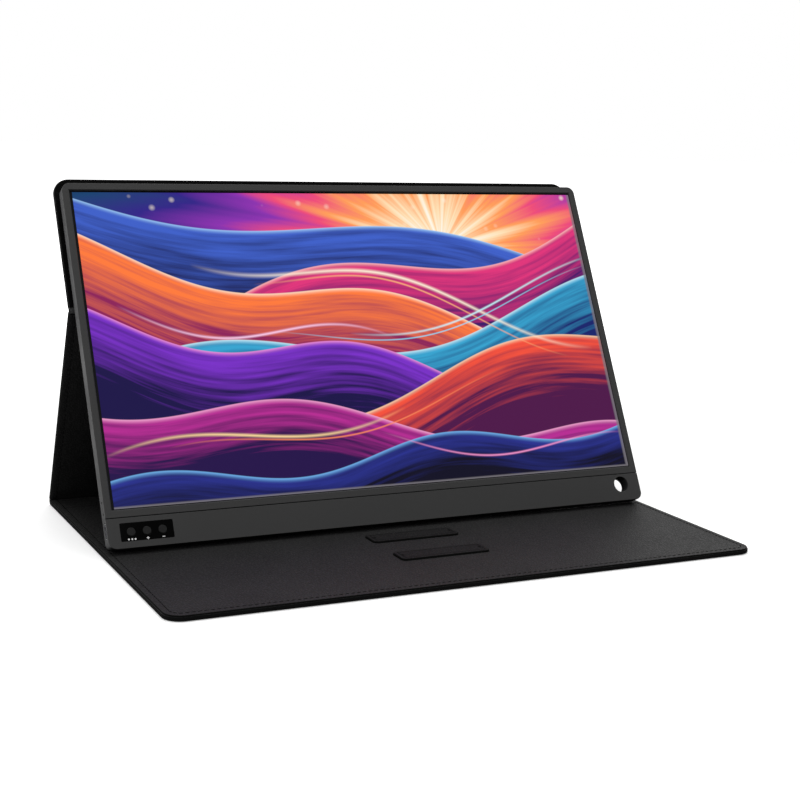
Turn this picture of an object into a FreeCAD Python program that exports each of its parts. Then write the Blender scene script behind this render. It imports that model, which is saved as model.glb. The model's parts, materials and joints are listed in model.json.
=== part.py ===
"""A portable monitor in its folding cover, stood up for use.

The cover is three stiff panels: a base that lies on the table, a leg that rises
from the base's rear edge, and an upper panel fixed to the monitor's back. The
origin is at the centre of the base's underside, between its front edge and the
rear fold, with +X to the viewer's right, +Y to the back and +Z up. Lengths are
in millimetres and angles in degrees.
"""

import FreeCAD, Part
import math
import os
import re

import Sketcher
from FreeCAD import Vector

# The driving dimensions. Each is written once and copied to the Sizes sheet.
SIZES = {
    # folding cover: panels of a stiff board between an outer skin and a lining
    "cover_border": 2.0,
    "cover_thickness": 3.0,
    "skin_floor": 0.8,
    "lining_thickness": 0.6,
    "board_margin": 5.0,
    "board_clearance": 0.2,
    "fold_gap": 0.3,
    # base panel, from the front edge to the axis of the rear fold
    "base_depth": 250.1,
    "base_corner": 10.0,
    "spine_run": 25.0,
    "spine_margin": 2.5,
    "crease_width": 1.6,
    "crease_depth": 0.3,
    # upper panel, from its fold, below the case's top, to its edge above the case
    "fold_drop": 75.3,
    "upper_over": 8.5,
    "upper_corner": 10.0,
    # stop bars on the base, each a covered strip with a magnet core
    "stop_length": 56.0,
    "stop_depth": 15.5,
    "stop_height": 1.5,
    "stop_corner": 3.0,
    "stop_edge": 0.5,
    "stop_front": 47.6,
    "stop_pitch": 38.0,
    "core_margin": 3.0,
    "core_thickness": 0.8,
    "core_clearance": 0.1,
    # closing magnets let into the base board
    "magnet_half": 5.0,
    "magnet_inset": 15.0,
    "magnet_edge": 29.0,
    "magnet_pitch": 60.0,
    "magnet_clearance": 0.1,
    # stance of the monitor and of the leg that carries it
    "screen_tilt": 27.776,
    "leg_lean": 66.1714,
    "foot_clearance": 0.3,
    # monitor case, whose width and height follow the screen
    "bezel_side": 4.92,
    "bezel_top": 5.31,
    "case_corner": 4.8,
    "cavity_corner": 2.6,
    "front_plate": 1.2,
    "front_edge": 0.35,
    "seam_drop": 5.4,
    "seam_gap": 0.3,
    "side_depth": 7.6,
    "back_depth": 11.0,
    "taper_run": 40.0,
    "wall": 1.4,
    "hollow_inset": 2.6,
    "pad_thickness": 1.4,
    "pad_margin": 8.0,
    "pad_inset": 27.0,
    # screen panel
    "active_width": 344.16,
    "active_height": 193.59,
    "active_rise": 23.1,
    "screen_border": 0.7,
    "opening_bevel": 0.6,
    "tape_thickness": 0.3,
    "tape_inset": 0.4,
    "glass_thickness": 1.2,
    "glass_border": 3.25,
    "glass_foot": 5.6,
    "glass_head": 2.2,
    "films_thickness": 0.4,
    "guide_thickness": 0.6,
    "reflector_thickness": 0.2,
    "tray_thickness": 0.4,
    "tray_hole": 6.0,
    "frame_rail": 1.6,
    "sheet_clearance": 0.1,
    "led_base": 0.5,
    "led_height": 0.7,
    "led_length": 3.0,
    "led_count": 32,
    "driver_inset": 43.33,
    "driver_rise": 1.0,
    "driver_height": 9.0,
    "driver_thickness": 0.8,
    "tail_half": 11.0,
    "tail_thickness": 0.25,
    "tail_reach": 0.15,
    "tail_grip": 0.3,
    # pen hole through the lower right corner
    "pen_inset": 14.0,
    "pen_radius": 5.2,
    "pen_wall": 1.1,
    "pen_clearance": 0.4,
    # button window and buttons
    "window_inset": 22.6,
    "window_width": 30.6,
    "window_foot": 4.0,
    "window_head": 3.3,
    "window_corner": 0.6,
    "window_thickness": 0.7,
    "window_clearance": 0.1,
    "window_ledge": 1.2,
    "button_pitch": 9.1,
    "button_radius": 2.45,
    "button_gap": 0.3,
    "button_proud": 0.25,
    "button_edge": 0.3,
    "button_travel": 0.5,
    "flange_radius": 3.2,
    "flange_gap": 0.15,
    "flange_thickness": 0.5,
    "stem_radius": 1.2,
    "stem_length": 0.9,
    "switch_gap": 0.1,
    "switch_side": 4.5,
    "plunger_radius": 1.0,
    "plunger_height": 0.4,
    # port board behind the lower left corner
    "port_board_length": 43.5,
    "port_board_height": 13.8,
    "port_board_rise": 2.4,
    "port_board_thickness": 0.8,
    "port_board_gap": 0.1,
    "port_board_inset": 1.0,
    "port_width": 8.94,
    "port_height": 3.2,
    "port_length": 7.35,
    "port_corner": 1.5,
    "port_shell": 0.3,
    "port_floor": 1.2,
    "port_recess": 0.2,
    "port_clearance": 1.8,
    "mouth_clearance": 0.25,
    "tongue_half": 3.35,
    "tongue_thickness": 0.7,
    "tongue_setback": 1.0,
    "pin_hole_radius": 0.7,
    "pin_hole_depth": 0.8,
    "pin_hole_first": 3.4,
    "pin_hole_pitch": 6.9,
    # main board behind the screen panel
    "main_inset": 25.0,
    "main_length": 144.0,
    "main_lift": 8.0,
    "main_height": 64.0,
    "main_thickness": 1.0,
    "main_stand": 1.7,
    "chip_height": 1.2,
    "ribbon_inset": 37.6,
    "ribbon_width": 8.0,
    "ribbon_thickness": 0.3,
    "ribbon_grip": 8.0,
    "panel_cable_width": 18.0,
    # fasteners and the bosses that take them
    "screw_radius": 0.8,
    "screw_clearance": 0.2,
    "screw_head_radius": 1.7,
    "screw_head_height": 0.7,
    "screw_inset": 4.0,
    "port_screw_rise": 4.0,
    "port_screw_first": 7.2,
    "port_screw_pitch": 28.6,
    "boss_half": 2.0,
    # support ribs moulded inside the rear cover
    "rib_width": 1.2,
    "rib_gap": 0.1,
    "rib_clear": 10.0,
    "rib_head": 21.0,
    "rib_beside": 28.0,
    "rib_edge": 17.0,
    "rib_inset": 6.0,
    # every cut runs past the face that it opens by this much
    "overrun": 1.0,
}

# What follows from the driving dimensions, as formulas of the Places sheet.
PLACES = {
    "case_width": "active_width + 2 * bezel_side",
    "case_height": "active_rise + active_height + bezel_top",
    "cover_width": "case_width + 2 * cover_border",
    "half_cover": "cover_width / 2",
    "half_thick": "cover_thickness / 2",
    "board_thickness": "cover_thickness - lining_thickness - skin_floor",
    "lining_face": "half_thick - lining_thickness",
    "board_inset": "board_margin + board_clearance",
    "rear_axis": "base_depth / 2",
    "base_front": "-base_depth / 2",
    "fold_end": "half_thick + fold_gap",
    "base_rear": "rear_axis - fold_end",
    "spine_line": "rear_axis - spine_run",
    "magnet_outer": "half_cover - magnet_edge",
    "magnet_inner": "magnet_outer - magnet_pitch",
    "fold_height": "case_height - fold_drop",
    "upper_reach": "fold_drop + upper_over",
    "panel_depth": "back_depth + pad_thickness + half_thick",
    "foot_z": "cover_thickness + foot_clearance + side_depth * sin(screen_tilt)",
    "fold_z": "foot_z + fold_height * cos(screen_tilt) - panel_depth * sin(screen_tilt)",
    "leg_span": "(fold_z - half_thick) / sin(leg_lean)",
    "fold_y": "rear_axis - leg_span * cos(leg_lean)",
    "foot_y": "fold_y - fold_height * sin(screen_tilt) - panel_depth * cos(screen_tilt)",
    "heel_cut": "(fold_end + half_thick * cos(leg_lean)) / sin(leg_lean)",
    "leg_end": "leg_span - fold_end",
    "half_case": "case_width / 2",
    "cavity_half": "half_case - wall",
    "seam_height": "active_rise - seam_drop",
    "seam_low": "seam_height - seam_gap / 2",
    "seam_high": "seam_height + seam_gap / 2",
    "back_half": "half_case - taper_run",
    "back_top": "case_height - taper_run",
    "taper_slope": "(back_depth - side_depth) / taper_run",
    "taper_start": "side_depth - taper_slope * overrun",
    "taper_past": "back_depth + overrun",
    "pad_half": "back_half - pad_inset",
    "active_top": "active_rise + active_height",
    "opening_half": "active_width / 2 + screen_border",
    "opening_low": "active_rise - screen_border",
    "opening_high": "active_top + screen_border",
    "glass_half": "active_width / 2 + glass_border",
    "glass_low": "active_rise - glass_foot",
    "glass_high": "active_top + glass_head",
    "glass_front": "front_plate + tape_thickness",
    "glass_back": "glass_front + glass_thickness",
    "films_back": "glass_back + films_thickness",
    "guide_back": "films_back + guide_thickness",
    "reflector_back": "guide_back + reflector_thickness",
    "tray_back": "reflector_back + tray_thickness",
    "driver_back": "tray_back + driver_thickness",
    "driver_low": "glass_low + driver_rise",
    "driver_half": "glass_half - driver_inset",
    "tail_pitch": "driver_half / 2",
    "sheet_half": "glass_half - frame_rail - sheet_clearance",
    "sheet_high": "glass_high - frame_rail - sheet_clearance",
    "led_low": "glass_low + frame_rail + sheet_clearance",
    "led_top": "led_low + led_base + led_height",
    "sheet_low": "led_top + sheet_clearance",
    "pen_place": "half_case - pen_inset",
    "pen_tube": "pen_radius + pen_wall",
    "pen_rise": "glass_low - pen_clearance - pen_tube",
    "pen_tube_end": "side_depth + taper_slope * (pen_rise - pen_tube)",
    "window_place": "half_case - window_inset",
    "window_height": "seam_height - window_foot - window_head",
    "button_rise": "window_foot + window_height / 2",
    "flange_front": "window_thickness + flange_gap",
    "flange_back": "flange_front + flange_thickness",
    "stem_end": "flange_back + stem_length",
    "plunger_front": "stem_end + button_travel + switch_gap",
    "switch_front": "plunger_front + plunger_height",
    "port_board_left": "-(cavity_half - port_board_inset)",
    "ribbon_place": "-port_board_left - ribbon_inset",
    "port_board_back": "side_depth - wall - port_board_gap",
    "port_board_front": "port_board_back - port_board_thickness",
    "port_rise": "glass_low - port_clearance - port_width / 2",
    "port_middle": "port_board_front - port_height / 2",
    "port_mouth": "-(half_case - port_recess)",
    "main_back": "back_depth - wall - main_stand",
    "main_front": "main_back - main_thickness",
    "main_left": "half_case - main_inset",
    "main_rise": "taper_run + main_lift",
    "main_top": "main_rise + main_height",
    "rib_front": "tray_back + rib_gap",
    "rib_low": "main_top + rib_clear",
    "rib_high": "back_top - rib_head",
    "rib_first": "main_length - main_left + rib_beside",
    "rib_step": "(back_half - rib_edge - rib_first) / 2",
    "stop_place": "base_front + stop_front",
}

# Chips on the main board, each its centre, width and height as shares of the board.
CHIP_SHARES = [
    (0.38, 0.52, 0.14, 0.30),
    (0.18, 0.30, 0.07, 0.12),
    (0.62, 0.70, 0.09, 0.16),
    (0.60, 0.28, 0.06, 0.13),
    (0.80, 0.48, 0.10, 0.22),
    (0.20, 0.72, 0.06, 0.14),
]

# Holes stamped in the panel tray, as shares of the sheet's half width and height.
TRAY_HOLE_SHARES = [(-0.8, 0.3), (-0.8, 0.8), (0.8, 0.3), (0.8, 0.8)]

FULL_TURN = 360.0
QUARTER_TURN = 90.0
TOLERANCE = 1e-4

doc = FreeCAD.newDocument("PortableMonitor")
sub_parts = []


def add_sheet(name, rows):
    """Make a spreadsheet with one aliased cell for each row of text."""
    sheet = doc.addObject("Spreadsheet::Sheet", name)
    for row, (alias, text) in enumerate(rows.items(), start=1):
        sheet.set(f"A{row}", alias)
        sheet.set(f"B{row}", text)
        sheet.setAlias(f"B{row}", alias)
    return sheet


def expand(text, own_sheet=None):
    """Put the sheet's name before each size and place that a formula names."""
    def with_sheet(match):
        word = match.group()
        if word in SIZES:
            return f"Sizes.{word}"
        if word in PLACES and own_sheet != "Places":
            return f"Places.{word}"
        return word
    return re.sub(r"[a-z_]+", with_sheet, text)


sizes = add_sheet("Sizes", {alias: str(number) for alias, number in SIZES.items()})
add_sheet("Places", {alias: "=" + expand(text, "Places") for alias, text in PLACES.items()})
doc.recompute()


def value(text):
    """Work out a formula as a number."""
    return float(sizes.evalExpression(expand(text)))


def bind(thing, path, text):
    """Tie one property of an object to a formula."""
    thing.setExpression(path, expand(text))


def start(label, placement):
    """Begin a sub-part, placed in the part's frame by a formula."""
    body = doc.addObject("PartDesign::Body", label)
    body.Label = label
    body.AllowCompound = True
    bind(body, "Placement", placement)
    sub_parts.append(body)
    return body


def add_sketch(body, name, offset="0", plane="XY_Plane"):
    """Attach an empty sketch to one of the body's own planes, moved along its normal."""
    sketch = body.newObject("Sketcher::SketchObject", f"{body.Name}_{name}")
    support = next(part for part in body.Origin.OriginFeatures if part.Role == plane)
    sketch.AttachmentSupport = (support, [""])
    sketch.MapMode = "FlatFace"
    bind(sketch, "AttachmentOffset.Base.z", offset)
    return sketch


def constrain(sketch, kind, *terms, formula=None):
    """Add one constraint, with its datum tied to a formula where it has one."""
    if formula is None:
        sketch.addConstraint(Sketcher.Constraint(kind, *terms))
        return
    index = sketch.addConstraint(Sketcher.Constraint(kind, *terms, value(formula)))
    bind(sketch, f"Constraints[{index}]", formula)


def pin(sketch, shape, point, place):
    """Fix a point of a shape at a place given by two formulas."""
    constrain(sketch, "DistanceX", -1, 1, shape, point, formula=place[0])
    constrain(sketch, "DistanceY", -1, 1, shape, point, formula=place[1])


def circle(sketch, x, y, radius):
    """Draw a circle about a place."""
    centre = Vector(value(x), value(y), 0)
    shape = sketch.addGeometry(Part.Circle(centre, Vector(0, 0, 1), value(radius)), False)
    pin(sketch, shape, 3, (x, y))
    constrain(sketch, "Radius", shape, formula=radius)


def outline(sketch, corners):
    """Draw a closed outline through corners (x, y) or, where one is round, (x, y, radius)."""
    points = [Vector(value(corner[0]), value(corner[1]), 0) for corner in corners]
    count = len(points)
    runs = [(points[(i + 1) % count] - points[i]).normalize() for i in range(count)]
    arrive, leave, middles = list(points), list(points), [None] * count
    for i, corner in enumerate(corners):
        if len(corner) > 2:
            radius = value(corner[2])
            turn = runs[i - 1].getAngle(runs[i])
            trim = radius * math.tan(turn / 2)
            arrive[i] = points[i] - runs[i - 1] * trim
            leave[i] = points[i] + runs[i] * trim
            inward = (runs[i] - runs[i - 1]).normalize()
            middles[i] = points[i] + inward * (radius / math.cos(turn / 2))
    lines = []
    for i in range(count):
        segment = Part.LineSegment(leave[i], arrive[(i + 1) % count])
        lines.append(sketch.addGeometry(segment, False))
    for i, corner in enumerate(corners):
        before, after = lines[i - 1], lines[i]
        if middles[i] is None:
            constrain(sketch, "Coincident", before, 2, after, 1)
            pin(sketch, after, 1, corner)
            continue
        left_turn = runs[i - 1].cross(runs[i]).z > 0
        first, last = (arrive[i], leave[i]) if left_turn else (leave[i], arrive[i])
        angles = [math.atan2(p.y - middles[i].y, p.x - middles[i].x) for p in (first, last)]
        round_edge = Part.Circle(middles[i], Vector(0, 0, 1), value(corner[2]))
        arc = sketch.addGeometry(Part.ArcOfCircle(round_edge, *angles), False)
        arc_start, arc_end = (1, 2) if left_turn else (2, 1)
        constrain(sketch, "Tangent", before, 2, arc, arc_start)
        constrain(sketch, "Tangent", arc, arc_end, after, 1)
        constrain(sketch, "Radius", arc, formula=corner[2])
        tip = sketch.addGeometry(Part.Point(points[i]), True)
        constrain(sketch, "PointOnObject", tip, 1, before)
        constrain(sketch, "PointOnObject", tip, 1, after)
        pin(sketch, tip, 1, corner)


def rectangle(left, bottom, right, top, low_round=None, high_round=None):
    """List a rectangle's corners, with its lower and upper pair round where asked."""
    low = () if low_round is None else (low_round,)
    high = () if high_round is None else (high_round,)
    return [(left, bottom) + low, (right, bottom) + low, (right, top) + high, (left, top) + high]


def centred(half_width, bottom, top, low_round=None, high_round=None):
    """List the corners of a rectangle that is centred from side to side."""
    return rectangle(f"-({half_width})", bottom, half_width, top, low_round, high_round)


def about(x, y, half_width, half_height, radius=None):
    """List the corners of a rectangle about a place."""
    return rectangle(f"{x} - {half_width}", f"{y} - {half_height}",
                     f"{x} + {half_width}", f"{y} + {half_height}", radius, radius)


def hexagon(x, y, radius):
    """List the corners of a hexagon about a place, two of them level with it."""
    rise = f"{radius} * sqrt(3) / 2"
    return [(f"{x} + {radius}", y), (f"{x} + {radius} / 2", f"{y} + {rise}"),
            (f"{x} - {radius} / 2", f"{y} + {rise}"), (f"{x} - {radius}", y),
            (f"{x} - {radius} / 2", f"{y} - {rise}"), (f"{x} + {radius} / 2", f"{y} - {rise}")]


def pad(body, sketch, length, backward=False):
    """Raise a sketch into a solid."""
    feature = body.newObject("PartDesign::Pad", f"{sketch.Name}_pad")
    feature.Profile = sketch
    feature.Reversed = backward
    bind(feature, "Length", length)
    return feature


def pocket(body, sketch, length, forward=False):
    """Cut a sketch into the solid, against the sketch's normal unless forward."""
    feature = body.newObject("PartDesign::Pocket", f"{sketch.Name}_cut")
    feature.Profile = sketch
    feature.Reversed = forward
    bind(feature, "Length", length)
    return feature


def dress(body, kind, path, size, wanted):
    """Round or bevel the edges of the body's last solid for which wanted(edge) holds."""
    doc.recompute()
    base = body.Tip
    names = [f"Edge{number}" for number, edge in enumerate(base.Shape.Edges, start=1) if wanted(edge)]
    feature = body.newObject(f"PartDesign::{kind}", f"{base.Name}_{path.lower()}")
    feature.Base = (base, names)
    bind(feature, path, size)
    return feature


def lies_at(edge, height):
    """Tell whether an edge lies flat at a height in its body's frame."""
    box = edge.BoundBox
    return abs(box.ZMin - height) < TOLERANCE and abs(box.ZMax - height) < TOLERANCE


def plate(label, placement, corners, bottom, thickness, holes=()):
    """Make a flat plate from an outline and any number of inner outlines."""
    body = start(label, placement)
    sketch = add_sketch(body, "outline", bottom)
    outline(sketch, corners)
    for hole in holes:
        outline(sketch, hole)
    pad(body, sketch, thickness)
    return body


def discs(body, name, places, radius, offset, length, backward=False):
    """Raise a round solid at each place."""
    sketch = add_sketch(body, name, offset)
    for x, y in places:
        circle(sketch, x, y, radius)
    return pad(body, sketch, length, backward)


def holes(body, name, places, radius, offset, length):
    """Bore a round hole at each place."""
    sketch = add_sketch(body, name, offset)
    for x, y in places:
        circle(sketch, x, y, radius)
    return pocket(body, sketch, length)


def squares(body, name, places, half_side, offset):
    """Draw a square about each place on a sketch of its own."""
    sketch = add_sketch(body, name, offset)
    for x, y in places:
        outline(sketch, about(x, y, f"({half_side})", f"({half_side})"))
    return sketch


def turned(x, y, z, angle):
    """Write a placement at a point, turned about the X axis."""
    return f"placement(vector({x}; {y}; {z}); rotation(vector(1; 0; 0); {angle}))"


def on_monitor(across="0", up="0"):
    """Write a placement in the monitor's frame: X across, Y up the screen, Z out of it."""
    return turned(across, f"foot_y + ({up}) * sin(screen_tilt)",
                  f"foot_z + ({up}) * cos(screen_tilt)", "90 - screen_tilt")


ON_BASE = turned("0", "0", "half_thick", "0")
ON_LEG = turned("0", "rear_axis", "half_thick", "180 - leg_lean")
ON_UPPER = turned("0", "fold_y", "fold_z", "90 - screen_tilt")
MONITOR = on_monitor()


def make_skin(label, placement, corners, recesses):
    """Make a panel's outer skin: a tray with turned-up edges round each board."""
    body = start(label, placement)
    sketch = add_sketch(body, "outline", "-half_thick")
    outline(sketch, corners)
    pad(body, sketch, "cover_thickness - lining_thickness")
    cut = add_sketch(body, "recess", "lining_face")
    for recess in recesses:
        outline(cut, recess)
    pocket(body, cut, "board_thickness")
    return body


def make_board(label, placement, corners):
    """Make a stiff board that fills a skin's recess."""
    return plate(label, placement, corners, "-half_thick + skin_floor", "board_thickness")


def make_lining(label, placement, corners):
    """Make the lining over a panel's inner face."""
    return plate(label, placement, corners, "lining_face", "lining_thickness")


def magnet_places():
    """List where the closing magnets sit along the base's front edge."""
    front = "base_front + magnet_inset"
    return [(side + place, front) for place in ("magnet_inner", "magnet_outer") for side in ("-", "")]


def make_base():
    """Make the base panel, its spine and its closing magnets."""
    corners = centred("half_cover", "base_front", "base_rear", low_round="base_corner")
    spine_front = "spine_line + spine_margin"
    spine_rear = "base_rear - spine_margin"
    panel_rear = "spine_line - spine_margin"
    fit = "board_clearance"
    make_skin("base_skin", ON_BASE, corners, [
        centred("half_cover - board_margin", "base_front + board_margin", panel_rear),
        centred("half_cover - board_margin", spine_front, spine_rear)])
    board = make_board("base_board", ON_BASE, centred(
        "half_cover - board_inset", "base_front + board_inset", f"{panel_rear} - {fit}"))
    openings = squares(board, "magnet_holes", magnet_places(), "magnet_half + magnet_clearance",
                       "lining_face + overrun")
    pocket(board, openings, "board_thickness + 2 * overrun")
    make_board("spine_board", ON_BASE, centred(
        "half_cover - board_inset", f"{spine_front} + {fit}", f"{spine_rear} - {fit}"))
    magnets = start("closing_magnets", ON_BASE)
    faces = squares(magnets, "faces", magnet_places(), "magnet_half", "-half_thick + skin_floor")
    pad(magnets, faces, "board_thickness")
    lining = make_lining("base_lining", ON_BASE, corners)
    crease = add_sketch(lining, "crease", "half_thick + overrun")
    outline(crease, centred("half_cover + overrun", "spine_line - crease_width / 2",
                            "spine_line + crease_width / 2"))
    pocket(lining, crease, "crease_depth + overrun")


def make_stop_bar(label, core_label, front):
    """Make one stop bar on the base and the magnet core inside it."""
    placement = turned("0", front, "cover_thickness", "0")
    bar = plate(label, placement,
                centred("stop_length / 2", "0", "stop_depth", "stop_corner", "stop_corner"),
                "0", "stop_height")
    hollow = add_sketch(bar, "hollow", "0")
    outline(hollow, centred("stop_length / 2 - core_margin", "core_margin", "stop_depth - core_margin"))
    pocket(bar, hollow, "core_thickness", forward=True)
    top = value("stop_height")
    dress(bar, "Chamfer", "Size", "stop_edge", lambda edge: lies_at(edge, top))
    inset = "core_margin + core_clearance"
    plate(core_label, placement, centred(f"stop_length / 2 - ({inset})", inset, f"stop_depth - ({inset})"),
          "0", "core_thickness - core_clearance")


def make_fold(label, placement):
    """Make the leather bead on a fold's axis."""
    fold = start(label, placement)
    bead = add_sketch(fold, "bead", "-half_cover", "YZ_Plane")
    circle(bead, "0", "0", "half_thick")
    pad(fold, bead, "cover_width")
    return fold


def add_fold_tail(fold):
    """Run a fold's leather on from its bead to the leg's outer skin."""
    tail = add_sketch(fold, "tail", "-half_cover", "YZ_Plane")
    outline(tail, rectangle("0", "-half_thick", "heel_cut", "-half_thick + skin_floor"))
    pad(fold, tail, "cover_width")


def make_plain_panel(name, placement, bottom, top, high_round=None):
    """Make a panel with one board: its skin, its board and its lining."""
    corners = centred("half_cover", bottom, top, high_round=high_round)
    make_skin(f"{name}_skin", placement, corners, [
        centred("half_cover - board_margin", f"{bottom} + board_margin", f"{top} - board_margin")])
    make_board(f"{name}_board", placement, centred(
        "half_cover - board_inset", f"{bottom} + board_inset", f"{top} - board_inset"))
    make_lining(f"{name}_lining", placement, corners)


def case_outline(inset="0", radius="case_corner"):
    """List the corners of the monitor case, drawn in by an inset."""
    return centred(f"half_case - {inset}", inset, f"case_height - {inset}", radius, radius)


def main_screw_places():
    """List the four screws of the main board."""
    sides = ("-main_left + screw_inset", "-main_left + main_length - screw_inset")
    ends = ("main_rise + screw_inset", "main_top - screw_inset")
    return [(x, y) for x in sides for y in ends]


def port_screw_places():
    """List the two screws of the port board."""
    first = "port_board_left + port_screw_first"
    return [(first, "port_screw_rise"), (f"{first} + port_screw_pitch", "port_screw_rise")]


def make_rear_cover():
    """Mould the rear cover: a tapered tray with ribs, bosses, a pen sleeve and openings."""
    cover = start("rear_cover", MONITOR)
    block = add_sketch(cover, "block", "-back_depth")
    outline(block, case_outline())
    pad(cover, block, "back_depth - front_plate")
    taper_cover(cover)
    cavity = add_sketch(cover, "cavity", "-front_plate + overrun")
    outline(cavity, case_outline("wall", "cavity_corner"))
    pocket(cover, cavity, "side_depth - wall - front_plate + overrun")
    hollow_cover(cover)
    add_cover_ribs(cover)
    add_cover_bosses(cover)
    sleeve = [("pen_place", "pen_rise")]
    discs(cover, "pen_sleeve", sleeve, "pen_tube", "-front_plate",
          "pen_tube_end - front_plate", backward=True)
    holes(cover, "pen_bore", sleeve, "pen_radius", "overrun", "back_depth + 2 * overrun")
    land = add_sketch(cover, "pen_land", "-back_depth - overrun")
    circle(land, "pen_place", "pen_rise", "pen_radius + pen_wall / 2")
    pocket(cover, land, "back_depth + overrun - pen_tube_end", forward=True)
    add_side_openings(cover)


def taper_corners(edge, inner, outward):
    """List the corners of the waste outside one tapered side, outward being + or -."""
    past = f"{edge} {outward} overrun"
    return [(past, "-taper_start"), (inner, "-back_depth"), (inner, "-taper_past"), (past, "-taper_past")]


def taper_cover(cover):
    """Slope the cover's back down to its side walls on all four sides."""
    ends = add_sketch(cover, "taper_ends", "-half_case - overrun", "YZ_Plane")
    outline(ends, taper_corners("0", "taper_run", "-"))
    outline(ends, taper_corners("case_height", "back_top", "+"))
    pocket(cover, ends, "case_width + 2 * overrun", forward=True)
    sides = add_sketch(cover, "taper_sides", "overrun", "XZ_Plane")
    outline(sides, taper_corners("-half_case", "-back_half", "-"))
    outline(sides, taper_corners("half_case", "back_half", "+"))
    pocket(cover, sides, "case_height + 2 * overrun")


def hollow_cover(cover):
    """Hollow the tapered back, its wedge lying along the monitor's depth."""
    hollow = cover.newObject("PartDesign::SubtractiveWedge", "rear_cover_hollow")
    hollow.Placement = FreeCAD.Placement(Vector(), FreeCAD.Rotation(Vector(1, 0, 0), -QUARTER_TURN))
    ends = {
        "Xmin": "-(cavity_half - hollow_inset)", "Xmax": "cavity_half - hollow_inset",
        "Ymin": "side_depth - wall", "Ymax": "back_depth - wall",
        "Zmin": "wall + hollow_inset", "Zmax": "case_height - wall - hollow_inset",
        "X2min": "-back_half", "X2max": "back_half",
        "Z2min": "taper_run", "Z2max": "back_top",
    }
    for name, formula in ends.items():
        bind(hollow, name, formula)


def add_cover_ribs(cover):
    """Add the ribs that back up the screen panel, with their feet in the back wall."""
    reach = "back_depth - wall / 2 - rib_front"
    across = add_sketch(cover, "cross_ribs", "-rib_front")
    for height in ("rib_low", "rib_high"):
        outline(across, centred("back_half - rib_inset", height, f"{height} + rib_width"))
    pad(cover, across, reach, backward=True)
    upright = add_sketch(cover, "upright_ribs", "-rib_front")
    for step in ("0", "1", "2"):
        left = f"rib_first + {step} * rib_step"
        outline(upright, rectangle(left, "taper_run + rib_inset",
                                   f"{left} + rib_width", "back_top - rib_inset"))
    pad(cover, upright, reach, backward=True)


def add_cover_bosses(cover):
    """Add the bosses under both circuit boards, bored for their screws."""
    bore = "screw_radius + screw_clearance"
    main_posts = squares(cover, "main_bosses", main_screw_places(), "boss_half", "-main_back")
    pad(cover, main_posts, "main_stand + wall / 2", backward=True)
    holes(cover, "main_boss_bores", main_screw_places(), bore, "-main_back", "main_stand")
    port_posts = squares(cover, "port_bosses", port_screw_places(), "boss_half", "-port_board_back")
    pad(cover, port_posts, "wall", backward=True)
    holes(cover, "port_boss_bores", port_screw_places(), bore, "-port_board_back", "wall / 2")


def add_side_openings(cover):
    """Cut the port's mouth and the two pin holes in the left wall."""
    outside = "-half_case - overrun"
    mouth = add_sketch(cover, "port_mouth", outside, "YZ_Plane")
    outline(mouth, about("port_rise", "-port_middle", "(port_width / 2 + mouth_clearance)",
                         "(port_height / 2 + mouth_clearance)", "port_corner"))
    pocket(cover, mouth, "wall + 2 * overrun", forward=True)
    pins = add_sketch(cover, "pin_holes", outside, "YZ_Plane")
    for step in ("0", "1"):
        height = f"glass_low + pin_hole_first + {step} * pin_hole_pitch"
        circle(pins, height, "-port_middle", "pin_hole_radius")
    pocket(cover, pins, "pin_hole_depth + overrun", forward=True)


def make_bezel():
    """Make the frame round the screen, its opening bevelled, and its tape."""
    opening = centred("opening_half", "opening_low", "opening_high")
    frame = plate("bezel_frame", MONITOR,
                  centred("half_case", "seam_high", "case_height", high_round="case_corner"),
                  "-front_plate", "front_plate", [opening])
    inner_edge = value("opening_half") + TOLERANCE
    low, high = value("opening_low") - TOLERANCE, value("opening_high") + TOLERANCE

    def at_opening(edge):
        box = edge.BoundBox
        return max(-box.XMin, box.XMax) < inner_edge and low < box.YMin and box.YMax < high

    dress(frame, "Chamfer", "Size", "opening_bevel", lambda edge: lies_at(edge, 0) and at_opening(edge))
    reach = value("opening_half + opening_bevel") + TOLERANCE
    dress(frame, "Fillet", "Radius", "front_edge", lambda edge: lies_at(edge, 0) and (
        max(-edge.BoundBox.XMin, edge.BoundBox.XMax) > reach))
    plate("bezel_tape", MONITOR,
          centred("glass_half - tape_inset", "seam_high + tape_inset", "glass_high - tape_inset"),
          "-glass_front", "tape_thickness",
          [centred("opening_half + tape_inset", "opening_low - tape_inset", "opening_high + tape_inset")])


def button_places():
    """List the three button axes, from the left."""
    return [(f"-window_place + {step} * button_pitch", "button_rise") for step in ("-1", "0", "1")]


def make_chin():
    """Make the strip below the screen, with its button window seated in a step."""
    chin = plate("chin_cover", MONITOR,
                 centred("half_case", "0", "seam_low", low_round="case_corner"),
                 "-front_plate", "front_plate")
    dress(chin, "Fillet", "Radius", "front_edge", lambda edge: lies_at(edge, 0))
    seat = add_sketch(chin, "window_seat", "overrun")
    outline(seat, about("-window_place", "button_rise", "(window_width / 2 + window_clearance)",
                        "(window_height / 2 + window_clearance)", "window_corner + window_clearance"))
    pocket(chin, seat, "window_thickness + overrun")
    gap = add_sketch(chin, "window_gap", "overrun")
    outline(gap, about("-window_place", "button_rise", "(window_width / 2 - window_ledge)",
                       "(window_height / 2 - window_ledge)"))
    pocket(chin, gap, "front_plate + 2 * overrun")
    holes(chin, "pen_bore", [("pen_place", "pen_rise")], "pen_radius", "overrun",
          "front_plate + 2 * overrun")
    pane = about("-window_place", "button_rise", "window_width / 2", "window_height / 2", "window_corner")
    window = plate("button_window", MONITOR, pane, "-window_thickness", "window_thickness")
    holes(window, "button_holes", button_places(), "button_radius + button_gap", "overrun",
          "window_thickness + 2 * overrun")


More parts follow.
